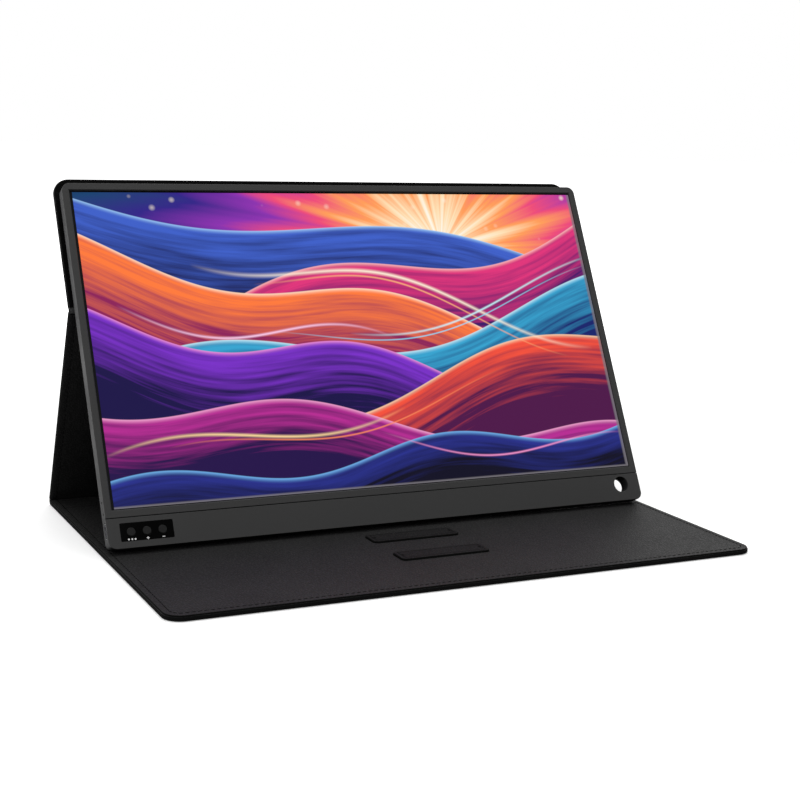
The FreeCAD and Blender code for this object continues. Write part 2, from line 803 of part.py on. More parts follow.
def make_button(label, place):
    """Turn one button: a cap with a bevelled edge, a keeper flange and a stem."""
    button = start(label, on_monitor(*place))
    profile = add_sketch(button, "profile", "0", "XZ_Plane")
    outline(profile, [
        ("0", "-stem_end"), ("stem_radius", "-stem_end"),
        ("stem_radius", "-flange_back"), ("flange_radius", "-flange_back"),
        ("flange_radius", "-flange_front"), ("button_radius", "-flange_front"),
        ("button_radius", "button_proud - button_edge"),
        ("button_radius - button_edge", "button_proud"), ("0", "button_proud")])
    spin = button.newObject("PartDesign::Revolution", f"{label}_spin")
    spin.Profile = profile
    spin.ReferenceAxis = (profile, ["V_Axis"])
    spin.Angle = FULL_TURN


def make_screen_panel():
    """Make the screen panel's layers, from the glass back to its tray and driver board."""
    glass = centred("glass_half", "glass_low", "glass_high")
    sheet = centred("sheet_half", "sheet_low", "sheet_high")
    plate("lcd_glass", MONITOR, glass, "-glass_back", "glass_thickness")
    plate("diffuser_films", MONITOR, sheet, "-films_back", "films_thickness")
    plate("light_guide", MONITOR, sheet, "-guide_back", "guide_thickness")
    plate("reflector_sheet", MONITOR, sheet, "-reflector_back", "reflector_thickness")
    plate("backlight_frame", MONITOR, glass, "-reflector_back", "reflector_back - glass_back",
          [centred("glass_half - frame_rail", "glass_low + frame_rail", "glass_high - frame_rail")])
    tray = plate("panel_tray", MONITOR, glass, "-tray_back", "tray_thickness")
    spots = [(f"{across} * sheet_half", f"sheet_low + {up} * (sheet_high - sheet_low)")
             for across, up in TRAY_HOLE_SHARES]
    holes(tray, "stamped_holes", spots, "tray_hole", "overrun", "tray_back + 2 * overrun")
    plate("panel_driver_board", MONITOR,
          centred("driver_half", "driver_low", "driver_low + driver_height"),
          "-driver_back", "driver_thickness")
    make_led_strip()
    make_driver_tails()


def make_led_strip():
    """Make the strip of light sources along the light guide's lower edge."""
    strip = plate("led_strip", MONITOR, centred("sheet_half", "led_low", "led_low + led_base"),
                  "-guide_back", "guide_thickness")
    lamp = add_sketch(strip, "lamp", "-guide_back")
    outline(lamp, rectangle("-sheet_half", "led_low + led_base", "-sheet_half + led_length", "led_top"))
    first = pad(strip, lamp, "guide_thickness")
    doc.recompute()
    row = strip.newObject("PartDesign::LinearPattern", "led_row")
    row.Originals = [first]
    row.Direction = (lamp, ["H_Axis"])
    bind(row, "Length", "2 * sheet_half - led_length")
    bind(row, "Occurrences", "led_count")
    strip.Tip = row


def make_driver_tails():
    """Make the film tails that hook from the glass round to the driver board."""
    tails = start("driver_tails", MONITOR)
    outer = "glass_low - tail_reach - tail_thickness"
    inner = "glass_low - tail_reach"
    front = "-(glass_front + tail_grip)"
    front_hook = f"{front} - tail_thickness"
    rear = "-(driver_back + tail_thickness)"
    for step in ("-1.5", "-0.5", "0.5", "1.5"):
        hook = add_sketch(tails, "hook", f"{step} * tail_pitch - tail_half", "YZ_Plane")
        outline(hook, [
            (outer, front), (outer, rear), ("driver_low + driver_height / 2", rear),
            ("driver_low + driver_height / 2", "-driver_back"), (inner, "-driver_back"),
            (inner, front_hook), ("glass_low", front_hook), ("glass_low", front)])
        pad(tails, hook, "2 * tail_half")


def make_main_board():
    """Make the main board and the chips on its rear face."""
    right = "-main_left + main_length"
    board = plate("main_board", MONITOR, rectangle("-main_left", "main_rise", right, "main_top"),
                  "-main_back", "main_thickness")
    holes(board, "screw_holes", main_screw_places(), "screw_radius + screw_clearance",
          "overrun", "main_back + 2 * overrun")
    chips = start("main_chips", MONITOR)
    faces = add_sketch(chips, "faces", "-(main_back + chip_height)")
    for across, up, width, height in CHIP_SHARES:
        outline(faces, about(f"-main_left + {across} * main_length", f"main_rise + {up} * main_height",
                             f"{width} * main_length / 2", f"{height} * main_height / 2"))
    pad(chips, faces, "chip_height")


def make_port_board():
    """Make the board in the lower left corner, with its port and its button switches."""
    board = plate("port_board", MONITOR,
                  rectangle("port_board_left", "port_board_rise", "port_board_left + port_board_length",
                            "port_board_rise + port_board_height"),
                  "-port_board_back", "port_board_thickness")
    holes(board, "screw_holes", port_screw_places(), "screw_radius + screw_clearance",
          "overrun", "port_board_back + 2 * overrun")
    switches = start("tact_switches", MONITOR)
    cases = squares(switches, "cases", button_places(), "switch_side / 2", "-port_board_front")
    pad(switches, cases, "port_board_front - switch_front")
    discs(switches, "plungers", button_places(), "plunger_radius", "-switch_front", "plunger_height")
    make_port()


def make_port():
    """Make the port: a round-cornered shell, and the insulator in it with its contact tongue."""
    inner = about("port_rise", "-port_middle", "(port_width / 2 - port_shell)",
                  "(port_height / 2 - port_shell)", "port_corner - port_shell")
    port = start("usb_c_port", MONITOR)
    shell = add_sketch(port, "shell", "port_mouth", "YZ_Plane")
    outline(shell, about("port_rise", "-port_middle", "port_width / 2", "port_height / 2", "port_corner"))
    outline(shell, inner)
    pad(port, shell, "port_length")
    insulator = start("port_tongue", MONITOR)
    floor = add_sketch(insulator, "floor", "port_mouth + port_length - port_floor", "YZ_Plane")
    outline(floor, inner)
    pad(insulator, floor, "port_floor")
    tongue = add_sketch(insulator, "tongue", "port_mouth + tongue_setback", "YZ_Plane")
    outline(tongue, about("port_rise", "-port_middle", "tongue_half", "tongue_thickness / 2"))
    pad(insulator, tongue, "port_length - port_floor - tongue_setback")


def make_ribbon(label, place, width, grip_low, grip_high, low_depth):
    """Make a flat cable that steps back from a lower board to the main board's front face."""
    cable = start(label, MONITOR)
    run = add_sketch(cable, "run", f"-({place}) - {width} / 2", "YZ_Plane")
    over = "ribbon_thickness"
    main_end = "main_rise + ribbon_grip"
    bend = "main_rise - ribbon_thickness"
    outline(run, [
        (grip_low, f"-({low_depth})"), (grip_high, f"-({low_depth})"),
        (bend, "-main_front"), (main_end, "-main_front"),
        (main_end, f"-main_front + {over}"), (bend, f"-main_front + {over}"),
        (grip_high, f"-({low_depth}) + {over}"), (grip_low, f"-({low_depth}) + {over}")])
    pad(cable, run, width)


def make_board_screws():
    """Make the screws that hold both boards to the rear cover's bosses."""
    screws = start("board_screws", MONITOR)
    rows = [(main_screw_places(), "main_front", "main_back + main_stand / 2", "main"),
            (port_screw_places(), "port_board_front", "port_board_back + wall / 4", "port")]
    for places, face, tip, name in rows:
        heads = add_sketch(screws, f"{name}_heads", f"-({face})")
        for x, y in places:
            outline(heads, hexagon(x, y, "screw_head_radius"))
        pad(screws, heads, "screw_head_height")
        discs(screws, f"{name}_shanks", places, "screw_radius", f"-({face})",
              f"{tip} - ({face})", backward=True)


def make_mounting_pad():
    """Make the pad that fixes the upper panel to the monitor's back."""
    plate("mounting_pad", MONITOR,
          centred("pad_half", "fold_height + pad_margin", "back_top"),
          "-(back_depth + pad_thickness)", "pad_thickness")


def export():
    """Check every object and write each sub-part's solid."""
    doc.recompute()
    for thing in doc.Objects:
        if {"Invalid", "Error"} & set(thing.State):
            raise RuntimeError(f"{thing.Label} failed: {thing.State}")
    for body in sub_parts:
        if body.Shape.isNull() or not body.Shape.isValid():
            raise RuntimeError(f"{body.Label} has no valid solid")
    os.makedirs("parts", exist_ok=True)
    for body in sub_parts:
        body.Shape.exportStep(f"parts/{body.Label}.step")
        box = body.Shape.BoundBox
        print(f"{body.Label}: {len(body.Shape.Solids)} solids, {body.Shape.Volume:.1f} mm3, "
              f"x {box.XMin:.2f} {box.XMax:.2f}, y {box.YMin:.2f} {box.YMax:.2f}, "
              f"z {box.ZMin:.2f} {box.ZMax:.2f}")


make_base()
make_stop_bar("stop_bar_rear", "stop_core_rear", "stop_place + stop_pitch")
make_stop_bar("stop_bar_front", "stop_core_front", "stop_place")
add_fold_tail(make_fold("rear_fold", ON_LEG))
make_fold("upper_fold", ON_UPPER)
make_plain_panel("leg", ON_LEG, "heel_cut", "leg_end")
make_plain_panel("upper", ON_UPPER, "fold_end", "upper_reach", high_round="upper_corner")
make_rear_cover()
make_bezel()
make_chin()
for name, where in zip(("menu_button", "plus_button", "minus_button"), button_places()):
    make_button(name, where)
make_screen_panel()
make_main_board()
make_port_board()
port_board_top = "port_board_rise + port_board_height"
make_ribbon("port_ribbon", "ribbon_place", "ribbon_width",
            f"{port_board_top} - ribbon_grip", port_board_top, "port_board_front")
make_ribbon("panel_cable", "tail_pitch", "panel_cable_width", "driver_low",
            "driver_low + driver_height", "driver_back + ribbon_thickness")
make_board_screws()
make_mounting_pad()
export()
for name in ("rear_axis", "half_thick", "fold_y", "fold_z", "foot_y", "foot_z", "leg_lean", "pen_rise"):
    print(f"{name} = {value(name):.4f}")
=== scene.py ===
"""Looks of a portable monitor that stands on its folding leather cover.

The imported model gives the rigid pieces. This script remakes the soft pieces of
the cover, adds the sewing and the button marks, and gives every piece its
finish. Lengths are in metres.
"""

import json
import logging
import math
from collections.abc import Iterable, Iterator
from dataclasses import dataclass, field
from enum import Enum

import bmesh
import bpy
from bmesh.types import BMEdge, BMesh, BMFace, BMVert
from bpy.types import Material, Mesh, Node, NodeSocket, NodeTree, Object
from mathutils import Euler, Matrix, Vector


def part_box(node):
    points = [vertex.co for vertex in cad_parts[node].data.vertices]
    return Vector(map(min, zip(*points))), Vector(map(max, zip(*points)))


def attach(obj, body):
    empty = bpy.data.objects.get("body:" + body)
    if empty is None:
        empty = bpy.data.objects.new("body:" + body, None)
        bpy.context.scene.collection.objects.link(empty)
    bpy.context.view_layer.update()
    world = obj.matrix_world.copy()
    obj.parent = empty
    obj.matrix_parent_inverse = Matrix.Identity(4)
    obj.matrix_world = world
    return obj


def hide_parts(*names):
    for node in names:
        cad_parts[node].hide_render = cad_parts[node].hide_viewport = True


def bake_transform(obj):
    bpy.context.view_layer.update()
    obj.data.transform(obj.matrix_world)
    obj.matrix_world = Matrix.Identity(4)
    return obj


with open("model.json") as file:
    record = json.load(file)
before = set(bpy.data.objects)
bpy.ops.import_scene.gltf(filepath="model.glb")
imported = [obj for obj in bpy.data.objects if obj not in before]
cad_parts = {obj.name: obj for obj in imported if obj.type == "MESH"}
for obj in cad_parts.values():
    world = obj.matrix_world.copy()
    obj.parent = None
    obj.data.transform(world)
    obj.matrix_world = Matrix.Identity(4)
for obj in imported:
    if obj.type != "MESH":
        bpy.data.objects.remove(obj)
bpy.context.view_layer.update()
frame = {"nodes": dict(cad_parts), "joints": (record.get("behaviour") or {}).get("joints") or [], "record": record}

Range = tuple[float, float]
Triple = tuple[float, float, float]
Colour = tuple[float, float, float, float]
Feed = NodeSocket | float | Vector | Euler | Triple | Colour
Part = BMVert | BMEdge | BMFace
Step = tuple[Vector, float]

MM = 0.001
TINY = 0.00001  # heights that differ by less are the same
LEVEL = 0.95  # a face whose normal rises by this much counts as level
QUARTER = math.pi / 2
ACROSS = Vector((1.0, 0.0, 0.0))
ALONG = Vector((0.0, 1.0, 0.0))
SMOOTH_BELOW = math.radians(38.0)
CORNER_STEPS = 10
BLACK: Colour = (0.0, 0.0, 0.0, 1.0)
WHITE: Colour = (1.0, 1.0, 1.0, 1.0)
FULL: Range = (0.0, 1.0)
NOISE: Range = (0.3, 0.7)  # where most of a noise lies
LOG = logging.getLogger("portable_monitor")


def paint(code: str) -> Colour:
    """Turn a screen colour such as #383838 into a linear one.

    Args:
        code: Six hexadecimal digits after a hash sign.

    Returns:
        Red, green, blue and a full alpha.
    """
    shares = [int(code[i:i + 2], 16) / 255 for i in (1, 3, 5)]
    linear = [s / 12.92 if s <= 0.04045 else ((s + 0.055) / 1.055) ** 2.4 for s in shares]
    return (linear[0], linear[1], linear[2], 1.0)


def joint(name: str) -> dict:
    """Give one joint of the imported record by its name."""
    return next(row for row in frame["joints"] if row["name"] == name)


@dataclass(frozen=True)
class Axes:
    """A panel's own frame: X across, Y up the panel, Z out of its inner face."""

    origin: Vector
    up: Vector

    @property
    def out(self) -> Vector:
        """Direction out of the panel's inner face."""
        return ACROSS.cross(self.up)

    @property
    def matrix(self) -> Matrix:
        """Turn and shift from this frame into the model's frame."""
        turn = Matrix((ACROSS, self.up, self.out)).transposed().to_4x4()
        return Matrix.Translation(self.origin) @ turn

    def at(self, x: float, y: float, z: float) -> Vector:
        """Give a place of this frame in the model's frame."""
        return self.matrix @ Vector((x, y, z))

    def extent(self, node: str) -> tuple[Vector, Vector]:
        """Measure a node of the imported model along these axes.

        Args:
            node: Name of the node.

        Returns:
            Its lowest and its highest corner.
        """
        inverse = self.matrix.inverted()
        places = [inverse @ vertex.co for vertex in frame["nodes"][node].data.vertices]
        low = Vector([min(place[i] for place in places) for i in range(3)])
        high = Vector([max(place[i] for place in places) for i in range(3)])
        return low, high


def screen_axes() -> Axes:
    """Find the monitor's frame, at the middle of the chin's lower front edge.

    Returns:
        The frame, whose Z points out of the screen.
    """
    out = -Vector(joint("menu_button_press")["axis"])
    level = Axes(Vector(), out.cross(ACROSS))
    low, high = level.extent("chin_cover")
    return Axes(level.at(0, low.y, high.z), level.up)


REAR_AXIS = Vector(joint("leg_fold")["pos_m"])
UPPER_AXIS = Vector(joint("monitor_fold")["pos_m"])
BASE = Axes(Vector((0, 0, REAR_AXIS.z)), ALONG)
LEG = Axes(REAR_AXIS, (UPPER_AXIS - REAR_AXIS).normalized())
SCREEN = screen_axes()
UPPER = Axes(UPPER_AXIS, SCREEN.up)


class Graph:
    """A node tree that is being wired, with short calls for the nodes that finishes use."""

    def __init__(self, tree: NodeTree) -> None:
        """Take the tree to wire."""
        self.tree = tree

    def feed(self, socket: NodeSocket, source: Feed) -> None:
        """Link a socket to another, or set its plain value.

        Args:
            socket: Input to feed.
            source: Output of another node, or a plain value.
        """
        if isinstance(source, NodeSocket):
            self.tree.links.new(source, socket)
        else:
            socket.default_value = source

    def add(self, kind: str, feeds: dict[str | int, Feed] | None = None,
            **settings: object) -> Node:
        """Add a node.

        Args:
            kind: Type of the node.
            feeds: What feeds its inputs, by name or number.
            settings: Its properties, set before the inputs are fed.

        Returns:
            The node.
        """
        node = self.tree.nodes.new(kind)
        for name, setting in settings.items():
            setattr(node, name, setting)
        for name, source in (feeds or {}).items():
            self.feed(node.inputs[name], source)
        return node

    def math(self, operation: str, first: Feed, second: Feed = 0.0,
             clamp: bool = False) -> NodeSocket:
        """Work out one sum of two values."""
        return self.add("ShaderNodeMath", {0: first, 1: second},
                        operation=operation, use_clamp=clamp).outputs[0]

    def vector(self, operation: str, *terms: Feed) -> NodeSocket:
        """Work out one sum of vectors, whose result is a vector."""
        return self.add("ShaderNodeVectorMath", dict(enumerate(terms)),
                        operation=operation).outputs["Vector"]

    def measure(self, operation: str, *terms: Feed) -> NodeSocket:
        """Work out one sum of vectors, whose result is a number."""
        return self.add("ShaderNodeVectorMath", dict(enumerate(terms)),
                        operation=operation).outputs["Value"]

    def scaled(self, term: Feed, share: Feed) -> NodeSocket:
        """Multiply a vector by a number."""
        return self.add("ShaderNodeVectorMath", {0: term, "Scale": share},
                        operation="SCALE").outputs["Vector"]

    def span(self, value: Feed, given: Range, result: Range = FULL,
             soft: bool = False) -> NodeSocket:
        """Map a range of values to another, held at its ends.

        Args:
            value: What is mapped.
            given: Values that give the ends of the result.
            result: The two ends of the result.
            soft: Whether the map eases in and out.

        Returns:
            The mapped value.
        """
        ease = "SMOOTHSTEP" if soft else "LINEAR"
        feeds = dict(enumerate((value, *given, *result)))
        return self.add("ShaderNodeMapRange", feeds, interpolation_type=ease).outputs[0]

    def blend(self, first: Feed, second: Feed, share: float) -> NodeSocket:
        """Add two values, the second one by its share."""
        return self.math("ADD", self.math("MULTIPLY", first, 1.0 - share),
                         self.math("MULTIPLY", second, share))

    def mix(self, share: Feed, first: Feed, second: Feed) -> NodeSocket:
        """Mix two colours."""
        return self.add("ShaderNodeMix", {0: share, 6: first, 7: second},
                        data_type="RGBA").outputs[2]

    def noise(self, point: NodeSocket, scale: Feed, detail: float = 2.0) -> Node:
        """Add a noise texture, whose first output is a value and second a colour."""
        return self.add("ShaderNodeTexNoise", {"Vector": point, "Scale": scale, "Detail": detail})

    def ramp(self, share: NodeSocket, stops: tuple[tuple[float, str], ...]) -> NodeSocket:
        """Give a colour for a share.

        Args:
            share: Where on the ramp the colour lies.
            stops: Place and colour code of each stop, in rising order.

        Returns:
            The colour.
        """
        node = self.add("ShaderNodeValToRGB", {0: share})
        elements = node.color_ramp.elements
        for element, (place, code) in zip(elements, (stops[0], stops[-1])):
            element.position = place
            element.color = paint(code)
        for place, code in stops[1:-1]:
            elements.new(place).color = paint(code)
        return node.outputs[0]

    def mapped(self, point: NodeSocket, scale: Triple | Vector,
               turn: Triple | Euler = (0.0, 0.0, 0.0),
               shift: Triple | Vector = (0.0, 0.0, 0.0)) -> NodeSocket:
        """Scale a point along each axis, turn it and shift it."""
        return self.add("ShaderNodeMapping", {"Vector": point, "Scale": scale, "Rotation": turn,
                                              "Location": shift}).outputs[0]

    def split(self, point: NodeSocket) -> tuple[NodeSocket, NodeSocket]:
        """Give a point's places across and up."""
        parts = self.add("ShaderNodeSeparateXYZ", {0: point}).outputs
        return parts[0], parts[1]

    def effect(self, tree: NodeTree, **feeds: Feed) -> Node:
        """Place a shared effect and feed its named inputs."""
        return self.add("ShaderNodeGroup", feeds, node_tree=tree)


class Kind(Enum):
    """Kinds of socket that an effect has."""

    VALUE = "NodeSocketFloat"
    POINT = "NodeSocketVector"
    COLOUR = "NodeSocketColor"


class Group:
    """The node group of a shared effect, with named inputs and outputs."""

    def __init__(self, name: str, inputs: dict[str, Kind], outputs: dict[str, Kind]) -> None:
        """Make the group and its sockets.

        Args:
            name: Name of the group.
            inputs: Kind of each input.
            outputs: Kind of each output.
        """
        self.tree = bpy.data.node_groups.new(name, "ShaderNodeTree")
        for way, sockets in (("INPUT", inputs), ("OUTPUT", outputs)):
            for label, kind in sockets.items():
                self.tree.interface.new_socket(label, in_out=way, socket_type=kind.value)
        self.graph = Graph(self.tree)
        self.given = self.graph.add("NodeGroupInput").outputs
        self.result = self.graph.add("NodeGroupOutput").inputs

    def close(self, **sources: NodeSocket) -> NodeTree:
        """Wire the outputs.

        Args:
            sources: What feeds each output.

        Returns:
            The finished group.
        """
        for name, source in sources.items():
            self.graph.feed(self.result[name], source)
        return self.tree


@dataclass(frozen=True)
class LeatherGrain:
    """The pebbled grain of leather: its height, and a tone that drifts over the hide."""

    drift_scale: float = 0.6
    drift: float = 0.9
    dome_edge: float = 0.3
    pore_scale: float = 3.0
    pore_share: float = 0.25
    hide_scale: float = 26.0
    hide_detail: float = 4.0
    hide_share: float = 0.3

    def make(self) -> NodeTree:
        """Build the group.

        Returns:
            The group, whose cells are counted in a metre.
        """
        group = Group("leather_grain", {"Point": Kind.POINT, "Cells": Kind.VALUE},
                      {"Height": Kind.VALUE, "Tone": Kind.VALUE})
        g, point, cells = group.graph, group.given["Point"], group.given["Cells"]
        wander = g.noise(point, g.math("MULTIPLY", cells, self.drift_scale)).outputs[1]
        wander = g.vector("SUBTRACT", wander, Vector((0.5, 0.5, 0.5)))
        warped = g.vector("ADD", point, g.scaled(wander, g.math("DIVIDE", self.drift, cells)))
        pebbles = g.add("ShaderNodeTexVoronoi", {"Vector": warped, "Scale": cells},
                        feature="DISTANCE_TO_EDGE")
        domes = g.span(pebbles.outputs["Distance"], (0.0, self.dome_edge), soft=True)
        pores = g.noise(point, g.math("MULTIPLY", cells, self.pore_scale)).outputs[0]
        hide = g.span(g.noise(point, self.hide_scale, self.hide_detail).outputs[0], NOISE)
        return group.close(Height=g.blend(domes, pores, self.pore_share),
                           Tone=g.blend(domes, hide, self.hide_share))


@dataclass(frozen=True)
class MouldedTexture:
    """The spark-eroded texture of moulded plastic, with smudges from handling."""

    smudge_scale: float = 38.0
    smudge_range: Range = (0.35, 0.7)

    def make(self) -> NodeTree:
        """Build the group.

        Returns:
            The group, whose pits are counted in a metre.
        """
        group = Group("moulded_texture", {"Point": Kind.POINT, "Pits": Kind.VALUE},
                      {"Height": Kind.VALUE, "Smudge": Kind.VALUE})
        g, point = group.graph, group.given["Point"]
        pits = g.noise(point, group.given["Pits"], detail=1.0).outputs[0]
        patches = g.noise(point, self.smudge_scale, detail=3.0).outputs[0]
        return group.close(Height=pits, Smudge=g.span(patches, self.smudge_range, soft=True))


@dataclass(frozen=True)
class BrushedLines:
    """The fine drawn lines of rolled or plated sheet metal."""

    stretch: Triple = (0.04, 1.0, 1.0)

    def make(self) -> NodeTree:
        """Build the group.

        Returns:
            The group, whose lines are counted in a metre.
        """
        group = Group("brushed_lines", {"Point": Kind.POINT, "Lines": Kind.VALUE},
                      {"Streak": Kind.VALUE})
        g = group.graph
        drawn = g.mapped(group.given["Point"], self.stretch)
        streak = g.noise(drawn, group.given["Lines"], detail=3.0).outputs[0]
        return group.close(Streak=g.span(streak, NOISE))


@dataclass(frozen=True)
class PaintedUndersideShade:
    """A mask of the faces that point down the monitor, for painted shade under the case, broken into patches."""

    facing_range: Range = (0.45, 0.8)
    patch_scale: float = 220.0
    patch_range: Range = (0.3, 0.6)
    patch_result: Range = (0.85, 1.0)

    def make(self) -> NodeTree:
        """Build the group.

        Returns:
            The group, which takes a face's direction and a place.
        """
        group = Group("painted_underside_shade", {"Facing": Kind.POINT, "Point": Kind.POINT},
                      {"Mask": Kind.VALUE})
        g = group.graph
        # painted shade: faces that point down the monitor are marked for darkening
        down = g.measure("DOT_PRODUCT", group.given["Facing"], -SCREEN.up)
        under = g.span(down, self.facing_range, soft=True)
        noise = g.noise(group.given["Point"], self.patch_scale, detail=3.0).outputs[0]
        patches = g.span(noise, self.patch_range, self.patch_result)
        return group.close(Mask=g.math("MULTIPLY", under, patches))


class CurveGroup(Group):
    """The group of an effect that follows a wavy line across the wallpaper."""

    def __init__(self, name: str, values: tuple[str, ...], colours: tuple[str, ...]) -> None:
        """Make the group with the inputs of a curve and more.

        Args:
            name: Name of the group.
            values: Names of further inputs that are numbers.
            colours: Names of the inputs that are colours.
        """
        curve = ("Level", "Slope", "Swell", "Frequency", "Phase")
        super().__init__(name, {"Point": Kind.POINT, **dict.fromkeys(curve + values, Kind.VALUE),
                                **dict.fromkeys(colours, Kind.COLOUR)}, {"Colour": Kind.COLOUR})

    def line(self) -> tuple[NodeSocket, NodeSocket, NodeSocket]:
        """Work out the line.

        Returns:
            The point's places across and up the picture, and the line's height there.
        """
        g, given = self.graph, self.given
        across, up = g.split(given["Point"])
        angle = g.math("ADD", g.math("MULTIPLY", across, given["Frequency"]), given["Phase"])
        slope = g.math("ADD", given["Level"], g.math("MULTIPLY", across, given["Slope"]))
        swell = g.math("MULTIPLY", g.math("SINE", angle), given["Swell"])
        return across, up, g.math("ADD", slope, swell)


@dataclass(frozen=True)
class WaveLayer:
    """One rolling layer of the wallpaper, painted over the colour under it."""

    streak_across: float = 1.6
    streak_down: float = 34.0
    streak_scale: float = 1.7
    streak_detail: float = 5.0
    streak: Range = (-0.36, 0.36)
    glint_power: float = 2.0
    soft_edge: float = 0.004

    def make(self) -> NodeTree:
        """Build the group.

        Returns:
            The group, which takes a curve, three colours and the colour under them.
        """
        group = CurveGroup("wave_layer", ("Fall", "Rim"), ("Crest", "Deep", "Glint", "Under"))
        g, given = group.graph, group.given
        across, up, crest = group.line()
        depth = g.math("SUBTRACT", crest, up)
        flow = g.add("ShaderNodeCombineXYZ", {
            0: g.math("MULTIPLY", across, self.streak_across),
            1: g.math("MULTIPLY", depth, self.streak_down), 2: given["Phase"]}).outputs[0]
        noise = g.noise(flow, self.streak_scale, self.streak_detail).outputs[0]
        fall = g.math("DIVIDE", depth, given["Fall"])
        shade = g.math("ADD", fall, g.span(noise, NOISE, self.streak), clamp=True)
        body = g.mix(shade, given["Crest"], given["Deep"])
        glint = g.math("SUBTRACT", 1.0, g.math("DIVIDE", depth, given["Rim"]), clamp=True)
        lit = g.mix(g.math("POWER", glint, self.glint_power), body, given["Glint"])
        inside = g.span(depth, (0.0, self.soft_edge), soft=True)
        return group.close(Colour=g.mix(inside, given["Under"], lit))


@dataclass(frozen=True)
class LightTrail:
    """One thin glowing curve over the wallpaper, fading at both ends."""

    core_power: float = 1.6
    fade_power: float = 2.0

    def make(self) -> NodeTree:
        """Build the group.

        Returns:
            The group, which takes a curve, its glow and the colour under it.
        """
        group = CurveGroup("light_trail", ("Width", "Centre", "Reach"), ("Glow", "Under"))
        g, given = group.graph, group.given
        across, up, line = group.line()
        apart = g.math("ABSOLUTE", g.math("SUBTRACT", up, line))
        apart = g.math("DIVIDE", apart, given["Width"])
        core = g.math("POWER", g.math("SUBTRACT", 1.0, apart, clamp=True), self.core_power)
        along = g.math("ABSOLUTE", g.math("SUBTRACT", across, given["Centre"]))
        along = g.math("POWER", g.math("DIVIDE", along, given["Reach"]), self.fade_power)
        fade = g.math("SUBTRACT", 1.0, along, clamp=True)
        return group.close(Colour=g.mix(
            g.math("MULTIPLY", core, fade), given["Under"], given["Glow"]))


GRAIN = LeatherGrain().make()
MOULDED = MouldedTexture().make()
BRUSHED = BrushedLines().make()
UNDERSIDE_SHADE = PaintedUndersideShade().make()
WAVE = WaveLayer().make()
TRAIL = LightTrail().make()


class Look(Graph):
    """The graph of a new material, with its shader and the object's own coordinates."""

    def __init__(self, name: str, colour: Colour, roughness: float, specular: float) -> None:
        """Make the material with its plain shader.

        Args:
            name: Name of the material.
            colour: Its plain colour.
            roughness: How rough it is.
            specular: How mirror-like it is.
        """
        self.material = bpy.data.materials.new(name)
        self.material.use_nodes = True
        self.material.diffuse_color = colour
        super().__init__(self.material.node_tree)
        self.shader = self.tree.nodes["Principled BSDF"]
        self.give("Base Color", colour)
        self.give("Roughness", roughness)
        self.give("Specular IOR Level", specular)
        self.point = self.add("ShaderNodeTexCoord").outputs["Object"]

    def give(self, name: str, source: Feed) -> None:
        """Feed one of the shader's sockets."""
        self.feed(self.shader.inputs[name], source)

    def emboss(self, height: NodeSocket, depth: float, strength: float) -> None:
        """Raise the surface by a height.

        Args:
            height: Height from 0 to 1.
            depth: Length that a height of 1 stands for.
            strength: How much of it shows.
        """
        bump = self.add("ShaderNodeBump", {
            "Distance": depth, "Strength": strength, "Height": height})
        self.give("Normal", bump.outputs[0])


@dataclass(frozen=True)
class Finish:
    """What every finish has: a name, a colour, and how rough and how mirror-like it is."""

    name: str
    colour: Colour
    roughness: float = 0.5
    specular: float = 0.3

    def make(self) -> Material:
        """Build the material.

        Returns:
            The material, with the finish's pattern on its plain shader.
        """
        look = self.start()
        self.dress(look)
        return look.material

    def start(self) -> Look:
        """Make the plain material to build on."""
        return Look(self.name, self.colour, self.roughness, self.specular)

    def dress(self, look: Look) -> None:
        """Add the pattern, which a plain finish has none of."""

    def dimmed(self, share: float) -> Colour:
        """Give the finish's colour times a share."""
        red, green, blue, alpha = self.colour
        return (red * share, green * share, blue * share, alpha)


@dataclass(frozen=True)
class LeatherFinish(Finish):
    """Grained leather, paler and glossier on its pebbles."""

    pale: Colour = WHITE
    cells: float = 620.0
    depth: float = 0.22 * MM
    relief: float = 0.8
    dull: float = 0.12
    gloss: float = 0.05

    def dress(self, look: Look) -> None:
        """Add the grain.

        Args:
            look: Graph of the material.
        """
        grain = look.effect(GRAIN, Point=look.point, Cells=self.cells).outputs
        look.give("Base Color", look.mix(grain["Tone"], self.colour, self.pale))
        look.give("Roughness", look.span(
            grain["Height"], FULL, (self.roughness + self.dull, self.roughness - self.gloss)))
        look.emboss(grain["Height"], self.depth, self.relief)


@dataclass(frozen=True)
class MouldedFinish(Finish):
    """Moulded plastic or rubber with a fine texture and faint smudges."""

    pits: float = 3200.0
    depth: float = 0.03 * MM
    relief: float = 0.5
    smudge: float = 0.1
    shade: float = 0.12

    def dress(self, look: Look) -> None:
        """Add the texture and the smudges.

        Args:
            look: Graph of the material.
        """
        texture = look.effect(MOULDED, Point=look.point, Pits=self.pits).outputs
        colour = look.mix(texture["Height"], self.dimmed(1.0 - self.shade), self.colour)
        look.give("Base Color", self.dye(look, colour))
        look.give("Roughness", look.span(
            texture["Smudge"], FULL, (self.roughness, self.roughness - self.smudge)))
        look.emboss(texture["Height"], self.depth, self.relief)

    def dye(self, look: Look, colour: NodeSocket) -> NodeSocket:
        """Leave the colour as it is, where no shade is painted under the piece."""
        return colour


@dataclass(frozen=True)
class CaseFinish(MouldedFinish):
    """Moulded plastic of the case, with painted shade on its underside, where it stands on the cover."""

    # near-black painted shade for the faces that point down
    stain: Colour = paint("#020202")

    def dye(self, look: Look, colour: NodeSocket) -> NodeSocket:
        """Paint shade on the faces that point down.

        Args:
            look: Graph of the material.
            colour: Colour of the plastic.

        Returns:
            The colour with the painted shade on it.
        """
        facing = look.add("ShaderNodeTexCoord").outputs["Normal"]
        mask = look.effect(UNDERSIDE_SHADE, Facing=facing, Point=look.point).outputs["Mask"]
        return look.mix(mask, colour, self.stain)


